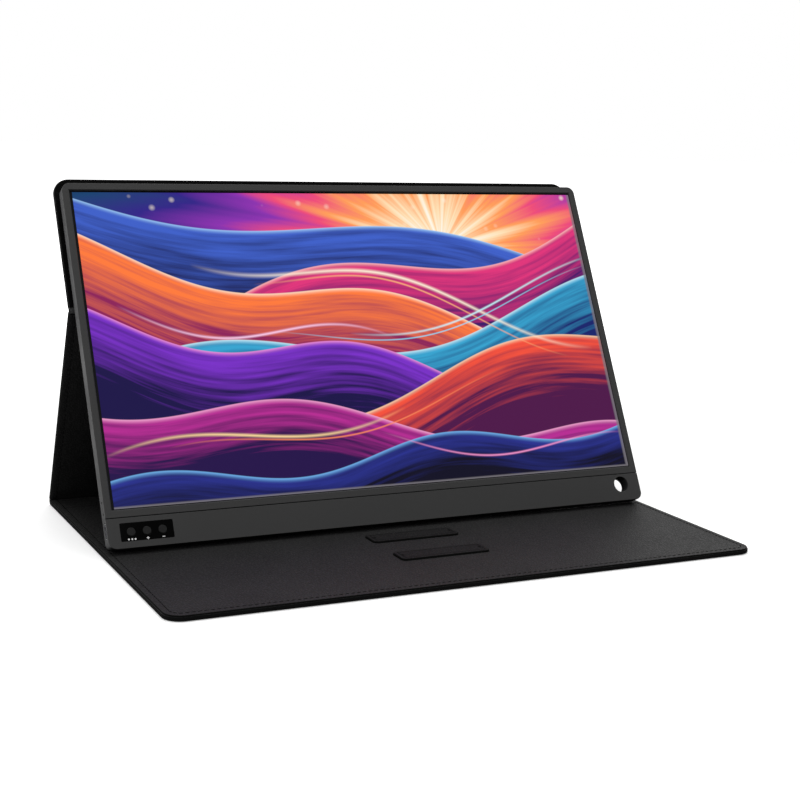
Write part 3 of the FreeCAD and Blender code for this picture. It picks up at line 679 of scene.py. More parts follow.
@dataclass(frozen=True)
class MetalFinish(Finish):
    """Plated or rolled metal with drawn lines."""

    lines: float = 4000.0
    shade: float = 0.18
    dull: float = 0.1
    gloss: float = 0.06
    depth: float = 0.01 * MM
    relief: float = 0.4

    def dress(self, look: Look) -> None:
        """Add the drawn lines.

        Args:
            look: Graph of the material.
        """
        look.give("Metallic", 1.0)
        streak = look.effect(BRUSHED, Point=look.point, Lines=self.lines).outputs["Streak"]
        look.give("Base Color", look.mix(streak, self.dimmed(1.0 - self.shade), self.colour))
        look.give("Roughness", look.span(
            streak, FULL, (self.roughness + self.dull, self.roughness - self.gloss)))
        look.emboss(streak, self.depth, self.relief)


@dataclass(frozen=True)
class TwoToneFinish(Finish):
    """A finish whose pattern is raised and has a second colour."""

    second: Colour = WHITE
    scale: float = 900.0
    depth: float = 0.05 * MM
    relief: float = 0.5

    def dress(self, look: Look) -> None:
        """Add the pattern.

        Args:
            look: Graph of the material.
        """
        share, height = self.pattern(look)
        look.give("Base Color", look.mix(share, self.colour, self.second))
        look.emboss(height, self.depth, self.relief)

    def pattern(self, look: Look) -> tuple[NodeSocket, NodeSocket]:
        """Give the second colour's share and the pattern's height."""
        raise NotImplementedError


@dataclass(frozen=True)
class ThreadFinish(TwoToneFinish):
    """Sewing thread with the twist of its strands."""

    def pattern(self, look: Look) -> tuple[NodeSocket, NodeSocket]:
        """Twist the strands, which are paler on top."""
        twist = look.add("ShaderNodeTexWave", {"Vector": look.point, "Scale": self.scale},
                         wave_type="BANDS", bands_direction="DIAGONAL").outputs["Fac"]
        return twist, twist


@dataclass(frozen=True)
class BoardFinish(TwoToneFinish):
    """A circuit board's lacquer over its copper tracks."""

    scale: float = 420.0
    depth: float = 0.03 * MM
    relief: float = 0.6
    rings: float = 4.0
    track: Range = (0.42, 0.5)

    def pattern(self, look: Look) -> tuple[NodeSocket, NodeSocket]:
        """Lay out the tracks as square rings.

        Args:
            look: Graph of the material.

        Returns:
            The tracks' share and height, which are the same.
        """
        cells = look.add("ShaderNodeTexVoronoi", {"Vector": look.point, "Scale": self.scale},
                         distance="MANHATTAN").outputs["Distance"]
        rings = look.math("FRACT", look.math("MULTIPLY", cells, self.rings))
        tracks = look.span(rings, self.track)
        return tracks, tracks


@dataclass(frozen=True)
class FilmFinish(TwoToneFinish):
    """A flexible film or flat cable with conductors along it."""

    scale: float = 1000.0
    depth: float = 0.02 * MM
    conductor: Range = (0.4, 0.6)

    def pattern(self, look: Look) -> tuple[NodeSocket, NodeSocket]:
        """Lay out the conductors as bands.

        Args:
            look: Graph of the material.

        Returns:
            The conductors' share and height, which are the same.
        """
        bands = look.add("ShaderNodeTexWave", {"Vector": look.point, "Scale": self.scale},
                         wave_type="BANDS", bands_direction="X").outputs["Fac"]
        lines = look.span(bands, self.conductor)
        return lines, lines


@dataclass(frozen=True)
class FibreFinish(TwoToneFinish):
    """Pressed fibre board with short pale and dark fibres."""

    depth: float = 0.08 * MM
    stretch: Triple = (1.0, 0.2, 1.0)
    slant: Triple = (0.0, 0.0, 0.6)
    pale: Range = (0.35, 0.65)

    def pattern(self, look: Look) -> tuple[NodeSocket, NodeSocket]:
        """Scatter the fibres.

        Args:
            look: Graph of the material.

        Returns:
            The pale fibres' share and the height of all.
        """
        lain = look.mapped(look.point, self.stretch, self.slant)
        strands = look.noise(lain, self.scale, detail=4.0).outputs[0]
        return look.span(strands, self.pale), strands


@dataclass(frozen=True)
class Curve:
    """One wavy line of the wallpaper, in screen heights from the lower edge."""

    level: float
    slope: float
    swell: float
    frequency: float
    phase: float

    def feeds(self) -> dict[str, Feed]:
        """Name the inputs of the curve's effect after its values."""
        return {name.title(): paint(value) if isinstance(value, str) else value
                for name, value in vars(self).items()}


@dataclass(frozen=True)
class Wave(Curve):
    """The upper edge of a rolling layer, and the layer's colours."""

    fall: float
    crest: str
    deep: str
    glint: str
    rim: float = 0.02


@dataclass(frozen=True)
class Trail(Curve):
    """A thin glowing curve over the layers."""

    width: float
    centre: float
    reach: float
    glow: str


# Place from the sun outwards, and colour.
SKY = ((0.0, "#fff6e6"), (0.09, "#ffe0b4"), (0.2, "#ff9d58"), (0.33, "#ee4a78"),
       (0.48, "#8b2fae"), (0.66, "#2f1f86"), (0.84, "#11406f"), (1.0, "#0a1638"))
# Level, slope, swell, frequency, phase, fall, and the colours of crest, deep and glint.
WAVES = (
    Wave(0.86, -0.16, 0.060, 3.6, 0.4, 0.26, "#3d5fc8", "#101044", "#a9d8ff"),
    Wave(0.70, 0.22, 0.075, 4.4, 2.3, 0.24, "#e0327a", "#3a1166", "#ffc9c4"),
    Wave(0.62, -0.24, 0.060, 5.2, 0.9, 0.22, "#ff7a3a", "#8c1f58", "#fff1d6"),
    Wave(0.50, 0.14, 0.080, 4.0, 3.9, 0.20, "#35a4d0", "#121f6a", "#d4f8ff"),
    Wave(0.42, -0.20, 0.055, 6.0, 1.7, 0.20, "#7a2fc8", "#160b46", "#ff9ad8"),
    Wave(0.31, 0.18, 0.060, 4.8, 5.2, 0.18, "#f4503a", "#4d1048", "#ffe6bd"),
    Wave(0.22, -0.12, 0.050, 5.4, 3.0, 0.16, "#b62a92", "#220b48", "#ffb4dc"),
    Wave(0.11, 0.06, 0.040, 6.4, 0.2, 0.12, "#27308e", "#080620", "#7fc8ff"),
)
# Level, slope, swell, frequency, phase, width, centre, reach, and the colour of the glow.
TRAILS = (
    Trail(0.68, -0.24, 0.06, 5.2, 0.9, 0.012, 0.15, 0.70, "#fff3da"),
    Trail(0.65, -0.24, 0.07, 5.0, 1.0, 0.006, 0.20, 0.55, "#ffb27a"),
    Trail(0.47, -0.20, 0.06, 6.0, 1.7, 0.008, -0.35, 0.45, "#ffd0f0"),
    Trail(0.56, 0.14, 0.08, 4.0, 3.9, 0.007, 0.45, 0.50, "#c8f6ff"),
    Trail(0.53, 0.15, 0.07, 4.2, 3.8, 0.004, 0.30, 0.60, "#7fe0ff"),
    Trail(0.27, 0.18, 0.06, 4.8, 5.2, 0.009, -0.40, 0.50, "#ffdf9c"),
    Trail(0.24, 0.17, 0.05, 5.0, 5.0, 0.005, -0.10, 0.60, "#ff8a5a"),
    Trail(0.16, -0.10, 0.05, 5.6, 2.8, 0.006, 0.45, 0.45, "#ff9ad0"),
)


@dataclass(frozen=True)
class ScreenFinish(Finish):
    """The lit screen: a black border round an abstract wallpaper of rolling colours."""

    depth: float = 0.0
    rise: float = 23.1 * MM
    shift: float = 0.85 * MM
    width: float = 343.7 * MM
    height: float = 193.59 * MM
    sun: Vector = field(default_factory=lambda: Vector((0.34, 0.80, 0.0)))
    sky_reach: float = 1.5
    ray_count: float = 3.0
    ray_scale: float = 2.4
    ray_length: float = 0.16
    spark_cells: float = 13.0
    spark_size: float = 0.16
    spark_power: float = 7.0
    spark: Colour = paint("#fff0dc")
    # painted reflection: a pale band on the right and lower edges only
    bleed_right: Range = (2.4 * MM, 1.2 * MM)
    bleed_low: Range = (1.5 * MM, 0.6 * MM)
    bleed_share: float = 0.8
    backlight: Colour = paint("#79757b")
    haze_pits: float = 9000.0
    haze: float = 0.08

    @property
    def half_width(self) -> float:
        """Half of the lit area's width, in its heights."""
        return self.width / self.height / 2

    def dress(self, look: Look) -> None:
        """Light the screen and haze its glass.

        Args:
            look: Graph of the material.
        """
        spot = self.spot(look)
        picture = self.sky(look, spot)
        for layer in (self.sparks, self.waves, self.trails, self.bleed):
            picture = layer(look, spot, picture)
        look.give("Emission Color", look.mix(self.lit_area(look, spot), BLACK, picture))
        look.give("Emission Strength", 1.0)
        haze = look.effect(MOULDED, Point=look.point, Pits=self.haze_pits).outputs["Smudge"]
        look.give("Roughness", look.span(haze, FULL, (self.roughness, self.roughness + self.haze)))

    def spot(self, look: Look) -> NodeSocket:
        """Give a point's place on the picture.

        Args:
            look: Graph of the material.

        Returns:
            The place in screen heights, from the middle of the lower edge.
        """
        turn = SCREEN.matrix.to_3x3().inverted()
        low = SCREEN.at(self.shift, self.rise, self.depth)
        return look.mapped(look.point, Vector((1, 1, 1)) / self.height, turn.to_euler(),
                           -(turn @ low) / self.height)

    def lit_area(self, look: Look, spot: NodeSocket) -> NodeSocket:
        """Mark the part of the glass that lights up.

        Args:
            look: Graph of the material.
            spot: Place on the picture.

        Returns:
            1 where the glass is lit, and 0 on the black border.
        """
        across, up = look.split(spot)
        beside = look.math("LESS_THAN", look.math("ABSOLUTE", across), self.half_width)
        from_middle = look.math("ABSOLUTE", look.math("SUBTRACT", up, 0.5))
        return look.math("MULTIPLY", beside, look.math("LESS_THAN", from_middle, 0.5))

    def sky(self, look: Look, spot: NodeSocket) -> NodeSocket:
        """Paint the glow behind the layers, with faint rays.

        Args:
            look: Graph of the material.
            spot: Place on the picture.

        Returns:
            The colour of the glow.
        """
        away = look.vector("SUBTRACT", spot, self.sun)
        way = look.scaled(look.vector("NORMALIZE", away), self.ray_count)
        rays = look.noise(way, self.ray_scale, detail=3.0).outputs[0]
        rays = look.span(rays, NOISE, (-self.ray_length, self.ray_length))
        reach = look.math("ADD", look.measure("LENGTH", away), rays)
        return look.ramp(look.math("DIVIDE", reach, self.sky_reach), SKY)

    def sparks(self, look: Look, spot: NodeSocket, under: NodeSocket) -> NodeSocket:
        """Scatter soft points of light over the glow.

        Args:
            look: Graph of the material.
            spot: Place on the picture.
            under: Colour of the glow.

        Returns:
            The colour with the points on it.
        """
        cells = look.add("ShaderNodeTexVoronoi",
                         {"Vector": spot, "Scale": self.spark_cells}).outputs
        bright = look.math("SUBTRACT", self.spark_size, cells["Distance"], clamp=True)
        bright = look.math("MULTIPLY", bright, self.spark_power)
        glow = look.math("MULTIPLY", bright, cells["Color"], clamp=True)
        return look.mix(glow, under, self.spark)

    @staticmethod
    def waves(look: Look, spot: NodeSocket, under: NodeSocket) -> NodeSocket:
        """Lay the rolling layers over the glow, from the back to the front."""
        for wave in WAVES:
            under = look.effect(WAVE, Point=spot, Under=under, **wave.feeds()).outputs[0]
        return under

    @staticmethod
    def trails(look: Look, spot: NodeSocket, under: NodeSocket) -> NodeSocket:
        """Draw the thin glowing curves over the layers."""
        for trail in TRAILS:
            under = look.effect(TRAIL, Point=spot, Under=under, **trail.feeds()).outputs[0]
        return under

    def bleed(self, look: Look, spot: NodeSocket, under: NodeSocket) -> NodeSocket:
        """Pale the picture's right and lower edges with a painted reflection.

        Args:
            look: Graph of the material.
            spot: Place on the picture.
            under: Colour of the picture.

        Returns:
            The colour with the painted reflection on its edges.
        """
        across, up = look.split(spot)
        inner, outer = (self.half_width - inset / self.height for inset in self.bleed_right)
        right = look.span(across, (inner, outer))
        high, low = (inset / self.height for inset in self.bleed_low)
        share = look.math("MAXIMUM", right, look.span(up, (high, low)))
        return look.mix(look.math("MULTIPLY", share, self.bleed_share), under, self.backlight)


def to_piece(bm: BMesh, name: str, materials: list[Material],
             turn: Matrix | None = None) -> Object:
    """Make a finished piece of a mesh.

    Args:
        bm: The mesh, which is freed.
        name: Name of the piece.
        materials: Its materials, in the order of its faces' numbers.
        turn: From the mesh's frame into the model's, where they differ.

    Returns:
        The piece, at the origin and linked to the scene.
    """
    if turn is not None:
        bmesh.ops.transform(bm, matrix=turn, verts=bm.verts)
    bmesh.ops.recalc_face_normals(bm, faces=bm.faces)
    mesh = to_mesh(bm, name)
    mesh.shade_smooth()
    mesh.set_sharp_from_angle(angle=SMOOTH_BELOW)
    for material in materials:
        mesh.materials.append(material)
    LOG.info("%s: %d faces", name, len(mesh.polygons))
    return link(name, mesh)


def to_mesh(bm: BMesh, name: str) -> Mesh:
    """Store a mesh that is done.

    Args:
        bm: The mesh, which is freed.
        name: Name of the stored mesh.

    Returns:
        The stored mesh.
    """
    mesh = bpy.data.meshes.new(name)
    bm.to_mesh(mesh)
    bm.free()
    return mesh


def link(name: str, data: bpy.types.ID) -> Object:
    """Make an object of a mesh, a light or a camera.

    Args:
        name: Name of the object.
        data: What it shows.

    Returns:
        The object, linked to the scene.
    """
    made = bpy.data.objects.new(name, data)
    bpy.context.scene.collection.objects.link(made)
    return made


def bevel(bm: BMesh, parts: list[Part], offset: float, segments: int,
          affect: str = "EDGES") -> None:
    """Round edges or corner vertices."""
    bmesh.ops.bevel(bm, geom=parts, offset=offset, offset_type="OFFSET", segments=segments,
                    profile=0.5, affect=affect, material=-1)


def shift_new(bm: BMesh, grown: list[Part], step: Vector) -> None:
    """Move the vertices that an extrusion made."""
    bmesh.ops.translate(bm, vec=step, verts=[part for part in grown if isinstance(part, BMVert)])


def everything(bm: BMesh) -> list[Part]:
    """List all the vertices, edges and faces."""
    return bm.verts[:] + bm.edges[:] + bm.faces[:]


def lies_at(part: BMEdge | BMFace, z: float) -> bool:
    """Tell whether an edge or a face lies level at a height."""
    return all(abs(v.co.z - z) < TINY for v in part.verts)


def flat_at(bm: BMesh, z: float) -> BMFace:
    """Find the largest level face at a height."""
    return max((f for f in bm.faces if lies_at(f, z)), key=lambda face: face.calc_area())


def edges_at(bm: BMesh, z: float) -> list[BMEdge]:
    """List the edges that lie at a height."""
    return [edge for edge in bm.edges if lies_at(edge, z)]


def slab(low: Vector, high: Vector, rounded: list[tuple[bool, bool]], radius: float) -> BMesh:
    """Make a flat slab with some of its upright corners round.

    Args:
        low: Lowest corner.
        high: Highest corner.
        rounded: Which corners are round, each as (right side, upper end).
        radius: Their radius.

    Returns:
        The closed mesh.
    """
    bm = bmesh.new()
    bmesh.ops.create_grid(bm, x_segments=1, y_segments=1, size=0.5)
    middle, size = (low + high) / 2, high - low
    bmesh.ops.scale(bm, vec=(size.x, size.y, 1.0), verts=bm.verts)
    bmesh.ops.translate(bm, vec=(middle.x, middle.y, low.z), verts=bm.verts)
    tips = [v for v in bm.verts if (v.co.x > middle.x, v.co.y > middle.y) in rounded]
    if tips:
        bevel(bm, tips, radius, CORNER_STEPS, "VERTICES")
    raised = bmesh.ops.extrude_face_region(bm, geom=bm.faces[:], use_keep_orig=True)["geom"]
    shift_new(bm, raised, Vector((0, 0, size.z)))
    bmesh.ops.recalc_face_normals(bm, faces=bm.faces)
    return bm


def cut_off(bm: BMesh, y: float, outward: float) -> None:
    """Cut a mesh across and close the cut.

    Args:
        bm: Mesh of the piece.
        y: Where it is cut.
        outward: 1 to take off what lies above, -1 below.
    """
    cut = bmesh.ops.bisect_plane(bm, geom=everything(bm), plane_co=(0, y, 0),
                                 plane_no=(0, outward, 0), clear_outer=True)["geom_cut"]
    bmesh.ops.holes_fill(bm, edges=[part for part in cut if isinstance(part, BMEdge)], sides=0)


def press_recess(bm: BMesh, z: float, low: Vector, high: Vector, depth: float) -> None:
    """Press a rectangular recess into the level face at a height.

    Args:
        bm: Mesh of the piece.
        z: Height of the face.
        low: Lowest corner of the recess.
        high: Highest corner of the recess.
        depth: How far its floor moves, negative downwards.
    """
    for place, across in ((low, ACROSS), (high, ACROSS), (low, ALONG), (high, ALONG)):
        level = [face for face in bm.faces if lies_at(face, z)]
        parts = dict.fromkeys(part for face in level for part in (face, *face.edges, *face.verts))
        bmesh.ops.bisect_plane(bm, geom=list(parts), plane_co=place, plane_no=across)
    middles = {face: face.calc_center_median() for face in bm.faces if lies_at(face, z)}
    inside = [face for face, middle in middles.items()
              if low.x < middle.x < high.x and low.y < middle.y < high.y]
    pressed = bmesh.ops.extrude_face_region(bm, geom=inside)["geom"]
    shift_new(bm, pressed, Vector((0, 0, depth)))


def press_groove(bm: BMesh, z: float, lead: float, groove: float, depth: float) -> None:
    """Press a groove round the largest level face at a height, between two flat borders.

    Args:
        bm: Mesh of the piece.
        z: Height of the face.
        lead: From the outer border to the groove.
        groove: Width of each border and of each slope of the groove.
        depth: Depth of the groove.
    """
    face = flat_at(bm, z)
    for thickness, rise in ((groove, 0.0), (lead, 0.0), (groove, -depth), (groove, depth),
                            (groove, 0.0)):
        bmesh.ops.inset_region(bm, faces=[face], thickness=thickness, depth=rise,
                               use_boundary=True, use_even_offset=True)


def ink_rim(bm: BMesh) -> None:
    """Give rounded and upright faces the second material, the ink of a leather rim."""
    for face in bm.faces:
        face.material_index = int(abs(face.normal.z) < LEVEL)


@dataclass(frozen=True)
class Run:
    """One straight or evenly bent run of a seam."""

    start: Vector
    heading: float
    length: float
    turn: float

    def at(self, reach: float) -> Step:
        """Give a place on the run.

        Args:
            reach: Length from the start.

        Returns:
            The place and the heading there, as an angle from X.
        """
        if not self.turn:
            way = Vector((math.cos(self.heading), math.sin(self.heading), 0))
            return self.start + way * reach, self.heading
        bend = self.turn / self.length
        ahead = self.heading + bend * reach
        arc = Vector((math.sin(ahead) - math.sin(self.heading),
                      math.cos(self.heading) - math.cos(ahead), 0))
        return self.start + arc / bend, ahead


@dataclass(frozen=True)
class Seam:
    """One row of stitches: where it starts, and the length and turn of each of its runs."""

    start: Vector
    heading: float
    runs: list[tuple[float, float]]

    def walk(self, pitch: float) -> Iterator[Step]:
        """Step along the seam.

        Args:
            pitch: About the length of a step.

        Yields:
            The middle of each step and its heading.
        """
        start, heading = self.start, self.heading
        for length, turn in self.runs:
            run = Run(start, heading, length, turn)
            steps = max(1, round(length / pitch))
            for step in range(steps):
                yield run.at((step + 0.5) * length / steps)
            start, heading = run.at(length)


@dataclass(frozen=True)
class Needle:
    """How the seams are sewn."""

    pitch: float = 3.3 * MM
    length: float = 2.5 * MM
    width: float = 0.6 * MM
    height: float = 0.42 * MM
    slant: float = math.radians(7.0)

    def stitch(self) -> Mesh:
        """Make one stitch.

        Returns:
            The stitch, lying along X about the origin.
        """
        bm = bmesh.new()
        shape = Matrix.Diagonal((self.length, self.width, self.height, 1.0))
        bmesh.ops.create_uvsphere(bm, u_segments=8, v_segments=5, radius=0.5, matrix=shape)
        return to_mesh(bm, "stitch")

    def sew(self, places: Iterable[Step]) -> BMesh:
        """Sew a row of stitches.

        Args:
            places: Middle and heading of each stitch.

        Returns:
            The mesh of all the stitches.
        """
        stitch = self.stitch()
        bm = bmesh.new()
        for place, heading in places:
            turn = Matrix.Rotation(heading + self.slant, 4, "Z")
            turned = stitch.copy()
            turned.transform(Matrix.Translation(place) @ turn)
            bm.from_mesh(turned)
            bpy.data.meshes.remove(turned)
        bpy.data.meshes.remove(stitch)
        return bm


class SewnEnd(Enum):
    """Which end of a panel is sewn round, the other one running into a fold."""

    LOW = -1
    HIGH = 1
    NEITHER = 0


@dataclass
class LeatherPanel:
    """One panel of the cover: an outer skin and a lining, sewn together round a stiff board."""

    name: str
    body: str
    axes: Axes
    sewn_end: SewnEnd
    corner: float
    boards: tuple[str, ...]
    crease: float | None = None
    rim: float = 0.9 * MM
    rim_steps: int = 5
    lip: float = 0.35 * MM
    lip_steps: int = 4
    lip_inset: float = 0.5 * MM
    seam_inset: float = 4.2 * MM
    groove: float = 0.45 * MM
    groove_depth: float = 0.12 * MM
    fit: float = 0.2 * MM
    fit_steps: int = 2
    spare: float = 15.0 * MM
    crease_width: float = 2.2 * MM
    crease_depth: float = 0.3 * MM
    crease_cuts: tuple[float, ...] = (-0.8, -0.5, 0.0, 0.5, 0.8)
    proud: float = 0.2 * MM
    plump: float = 0.0
    needle: Needle = Needle()

    def build(self, skin: Material, lining: Material, ink: Material,
              thread: Material) -> list[Object]:
        """Make the panel's skin, lining and stitches.

        Args:
            skin: Material of the outer skin.
            lining: Material of the lining.
            ink: Material of their rims.
            thread: Material of the stitches.

        Returns:
            The pieces, riding on the panel's body.
        """
        pieces = [self.make_skin([skin, ink]), self.make_lining([lining, ink]),
                  self.make_stitches([thread])]
        for piece in pieces:
            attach(piece, self.body)
        return pieces

    def blank(self, low: Vector, high: Vector, corner: float) -> BMesh:
        """Make a slab that runs past the panel's fold ends.

        Args:
            low: Lowest corner of the trimmed piece.
            high: Highest corner of the trimmed piece.
            corner: Radius of its round corners.

        Returns:
            The untrimmed mesh.
        """
        first, last = low.copy(), high.copy()
        if self.sewn_end is not SewnEnd.LOW:
            first.y -= self.spare
        if self.sewn_end is not SewnEnd.HIGH:
            last.y += self.spare
        upper = self.sewn_end is SewnEnd.HIGH
        rounded = [(False, upper), (True, upper)]
        return slab(first, last, [] if self.sewn_end is SewnEnd.NEITHER else rounded, corner)

    def trim(self, bm: BMesh, low: Vector, high: Vector) -> None:
        """Cut the fold ends to length.

        Args:
            bm: Mesh of the skin or the lining.
            low: Lowest corner of the trimmed piece.
            high: Highest corner of the trimmed piece.
        """
        if self.sewn_end is not SewnEnd.LOW:
            cut_off(bm, low.y, -1.0)
        if self.sewn_end is not SewnEnd.HIGH:
            cut_off(bm, high.y, 1.0)

    def sink_seam(self, bm: BMesh, z: float, run: float) -> None:
        """Press the seam's groove, whose middle lies a run from the level face's edge."""
        press_groove(bm, z, run - 2 * self.groove, self.groove, self.groove_depth)

    def make_skin(self, materials: list[Material]) -> Object:
        """Make the outer skin, with its turned edge and a recess for each board.

        Args:
            materials: Leather and ink.

        Returns:
            The skin.
        """
        low, high = self.axes.extent(f"{self.name}_skin")
        bm = self.blank(low, high, self.corner)
        bevel(bm, edges_at(bm, low.z), self.rim, self.rim_steps)
        bevel(bm, edges_at(bm, high.z), self.fit, self.fit_steps)
        self.sink_seam(bm, low.z, self.seam_inset - self.rim)
        self.trim(bm, low, high)
        gap = Vector((self.fit, self.fit, 0))
        for board in self.boards:
            board_low, board_high = self.axes.extent(board)
            press_recess(bm, high.z, board_low - gap, board_high + gap, board_low.z - high.z)
        ink_rim(bm)
        piece = to_piece(bm, f"{self.name}_cover_skin", materials, self.axes.matrix)
        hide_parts(f"{self.name}_skin")
        return piece

    def make_lining(self, materials: list[Material]) -> Object:
        """Make the lining, set in a little from the skin's edge.

        Args:
            materials: Leather and ink.

        Returns:
            The lining.
        """
        low, high = self.axes.extent(f"{self.name}_lining")
        high.z += self.plump
        inset = Vector((self.lip_inset, self.lip_inset, 0))
        bm = self.blank(low + inset, high - inset, self.corner - self.lip_inset)
        bevel(bm, edges_at(bm, high.z), self.lip, self.lip_steps)
        self.sink_seam(bm, high.z, self.seam_inset - self.lip_inset - self.lip)
        self.trim(bm, low, high)
        if self.crease is not None:
            self.press_crease(bm, (low.z + high.z) / 2)
        ink_rim(bm)
        piece = to_piece(bm, f"{self.name}_cover_lining", materials, self.axes.matrix)
        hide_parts(f"{self.name}_lining")
        return piece

    def press_crease(self, bm: BMesh, above: float) -> None:
        """Press the spine's crease into the lining's upper face.

        Args:
            bm: Mesh of the lining.
            above: Height over which its vertices belong to the upper face.
        """
        for cut in self.crease_cuts:
            place = (0, self.crease + cut * self.crease_width, 0)
            bmesh.ops.bisect_plane(bm, geom=everything(bm), plane_co=place, plane_no=ALONG)
        bottom = [v for v in bm.verts if abs(v.co.y - self.crease) < TINY and v.co.z > above]
        bmesh.ops.translate(bm, vec=(0, 0, -self.crease_depth), verts=bottom)

    def make_stitches(self, materials: list[Material]) -> Object:
        """Sew along the grooves of both faces.

        Args:
            materials: Thread.

        Returns:
            All the panel's stitches.
        """
        low, high = self.axes.extent(f"{self.name}_skin")
        top = self.axes.extent(f"{self.name}_lining")[1].z + self.plump
        heights = (low.z + self.needle.height / 2, top - self.needle.height / 2 + self.proud)
        sewn = self.needle.sew(step for z in heights for seam in self.seams(low, high, z)
                               for step in seam.walk(self.needle.pitch))
        piece = to_piece(sewn, f"{self.name}_cover_stitches", materials, self.axes.matrix)
        return piece

    def seams(self, low: Vector, high: Vector, z: float) -> list[Seam]:
        """Lay out the seams of one face.

        Args:
            low: Lowest corner of the panel.
            high: Highest corner of the panel.
            z: Height of the stitches.

        Returns:
            One seam along each side, or one round the sewn end.
        """
        left, right = low.x + self.seam_inset, high.x - self.seam_inset
        first, last = low.y + self.groove, high.y - self.groove
        if self.sewn_end is SewnEnd.NEITHER:
            return [Seam(Vector((x, first, z)), QUARTER, [(last - first, 0.0)])
                    for x in (left, right)]
        way = self.sewn_end.value
        bend = self.corner - self.seam_inset
        side = (last - first + self.groove - self.corner, 0.0)
        arc = (bend * QUARTER, -way * QUARTER)
        across = (right - left - 2 * bend, 0.0)
        start = Vector((left, first if way > 0 else last, z))
        return [Seam(start, way * QUARTER, [side, arc, across, arc, side])]


@dataclass
class StopBar:
    """One stop bar on the base: a leather-covered strip with a pressed outline and two tacks."""

    place: str
    corner: float = 3.0 * MM
    edge: float = 0.8 * MM
    edge_steps: int = 4
    outline: float = 1.2 * MM
    groove: float = 0.25 * MM
    groove_depth: float = 0.12 * MM
    fit: float = 0.1 * MM
    tack_inset: float = 3.6 * MM
    tack: Needle = Needle(length=3.2 * MM, width=0.9 * MM, height=0.5 * MM)

    def build(self, leather: Material, ink: Material, thread: Material) -> list[Object]:
        """Make the bar and its tacks.

        Args:
            leather: Material of the bar.
            ink: Material of its rim.
            thread: Material of the tacks.

        Returns:
            The pieces, riding on the base.
        """
        low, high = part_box(f"stop_bar_{self.place}")
        corners = [(right, upper) for right in (False, True) for upper in (False, True)]
        bm = slab(low, high, corners, self.corner)
        bevel(bm, edges_at(bm, high.z), self.edge, self.edge_steps)
        press_groove(bm, high.z, self.outline, self.groove, self.groove_depth)
        core_low, core_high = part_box(f"stop_core_{self.place}")
        gap = Vector((self.fit, self.fit, 0))
        press_recess(bm, low.z, core_low - gap, core_high + gap, core_high.z - low.z + self.fit)
        ink_rim(bm)
        bar = to_piece(bm, f"stop_bar_{self.place}_cover", [leather, ink])
        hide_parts(f"stop_bar_{self.place}")
        ends = [(Vector((x, (low.y + high.y) / 2, high.z)), QUARTER)
                for x in (low.x + self.tack_inset, high.x - self.tack_inset)]
        tacks = to_piece(self.tack.sew(ends), f"stop_bar_{self.place}_tacks", [thread])
        for piece in (bar, tacks):
            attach(piece, "base")
        return [bar, tacks]


@dataclass
class FoldStrip:
    """The bare leather that bends at a fold, thinner than the panels on its two sides."""

    name: str
    node: str
    bodies: tuple[str, str]
    start: Vector
    axis: Vector
    end: Vector
    half_width: float
    thickness: float = 1.7 * MM
    bend: float = 1.3 * MM
    bend_steps: int = 6
    columns: int = 24

    def build(self, leather: Material, ink: Material) -> Object:
        """Make the strip and give it its thickness.

        Args:
            leather: Material of the strip.
            ink: Material of its cut ends.

        Returns:
            The strip.
        """
        strip = to_piece(self.sheet(), self.name, [leather, ink])
        wall = strip.modifiers.new("thickness", "SOLIDIFY")
        wall.thickness = self.thickness
        wall.offset = 0.0
        wall.material_offset_rim = 1
        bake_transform(strip)
        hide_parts(self.node)
        return strip

    def sheet(self) -> BMesh:
        """Make the strip's middle surface.

        Returns:
            The sheet, from one panel round the fold's axis to the other.
        """
        bm = bmesh.new()
        ends = [bm.verts.new(self.start + ACROSS * side * self.half_width) for side in (-1, 1)]
        edge = bm.edges.new(ends)
        for step in (self.axis - self.start, self.end - self.axis):
            grown = bmesh.ops.extrude_edge_only(bm, edges=[edge])["geom"]
            shift_new(bm, grown, step)
            edge = next(part for part in grown if isinstance(part, BMEdge)
                        and all(v in grown for v in part.verts))
        crease = [e for e in bm.edges if len(e.link_faces) == 2]
        bevel(bm, crease, self.bend, self.bend_steps)
        rails = [e for e in bm.edges
                 if abs(e.verts[0].co.x - e.verts[1].co.x) > self.half_width]
        bmesh.ops.subdivide_edges(bm, edges=rails, cuts=self.columns, use_grid_fill=True)
        return bm


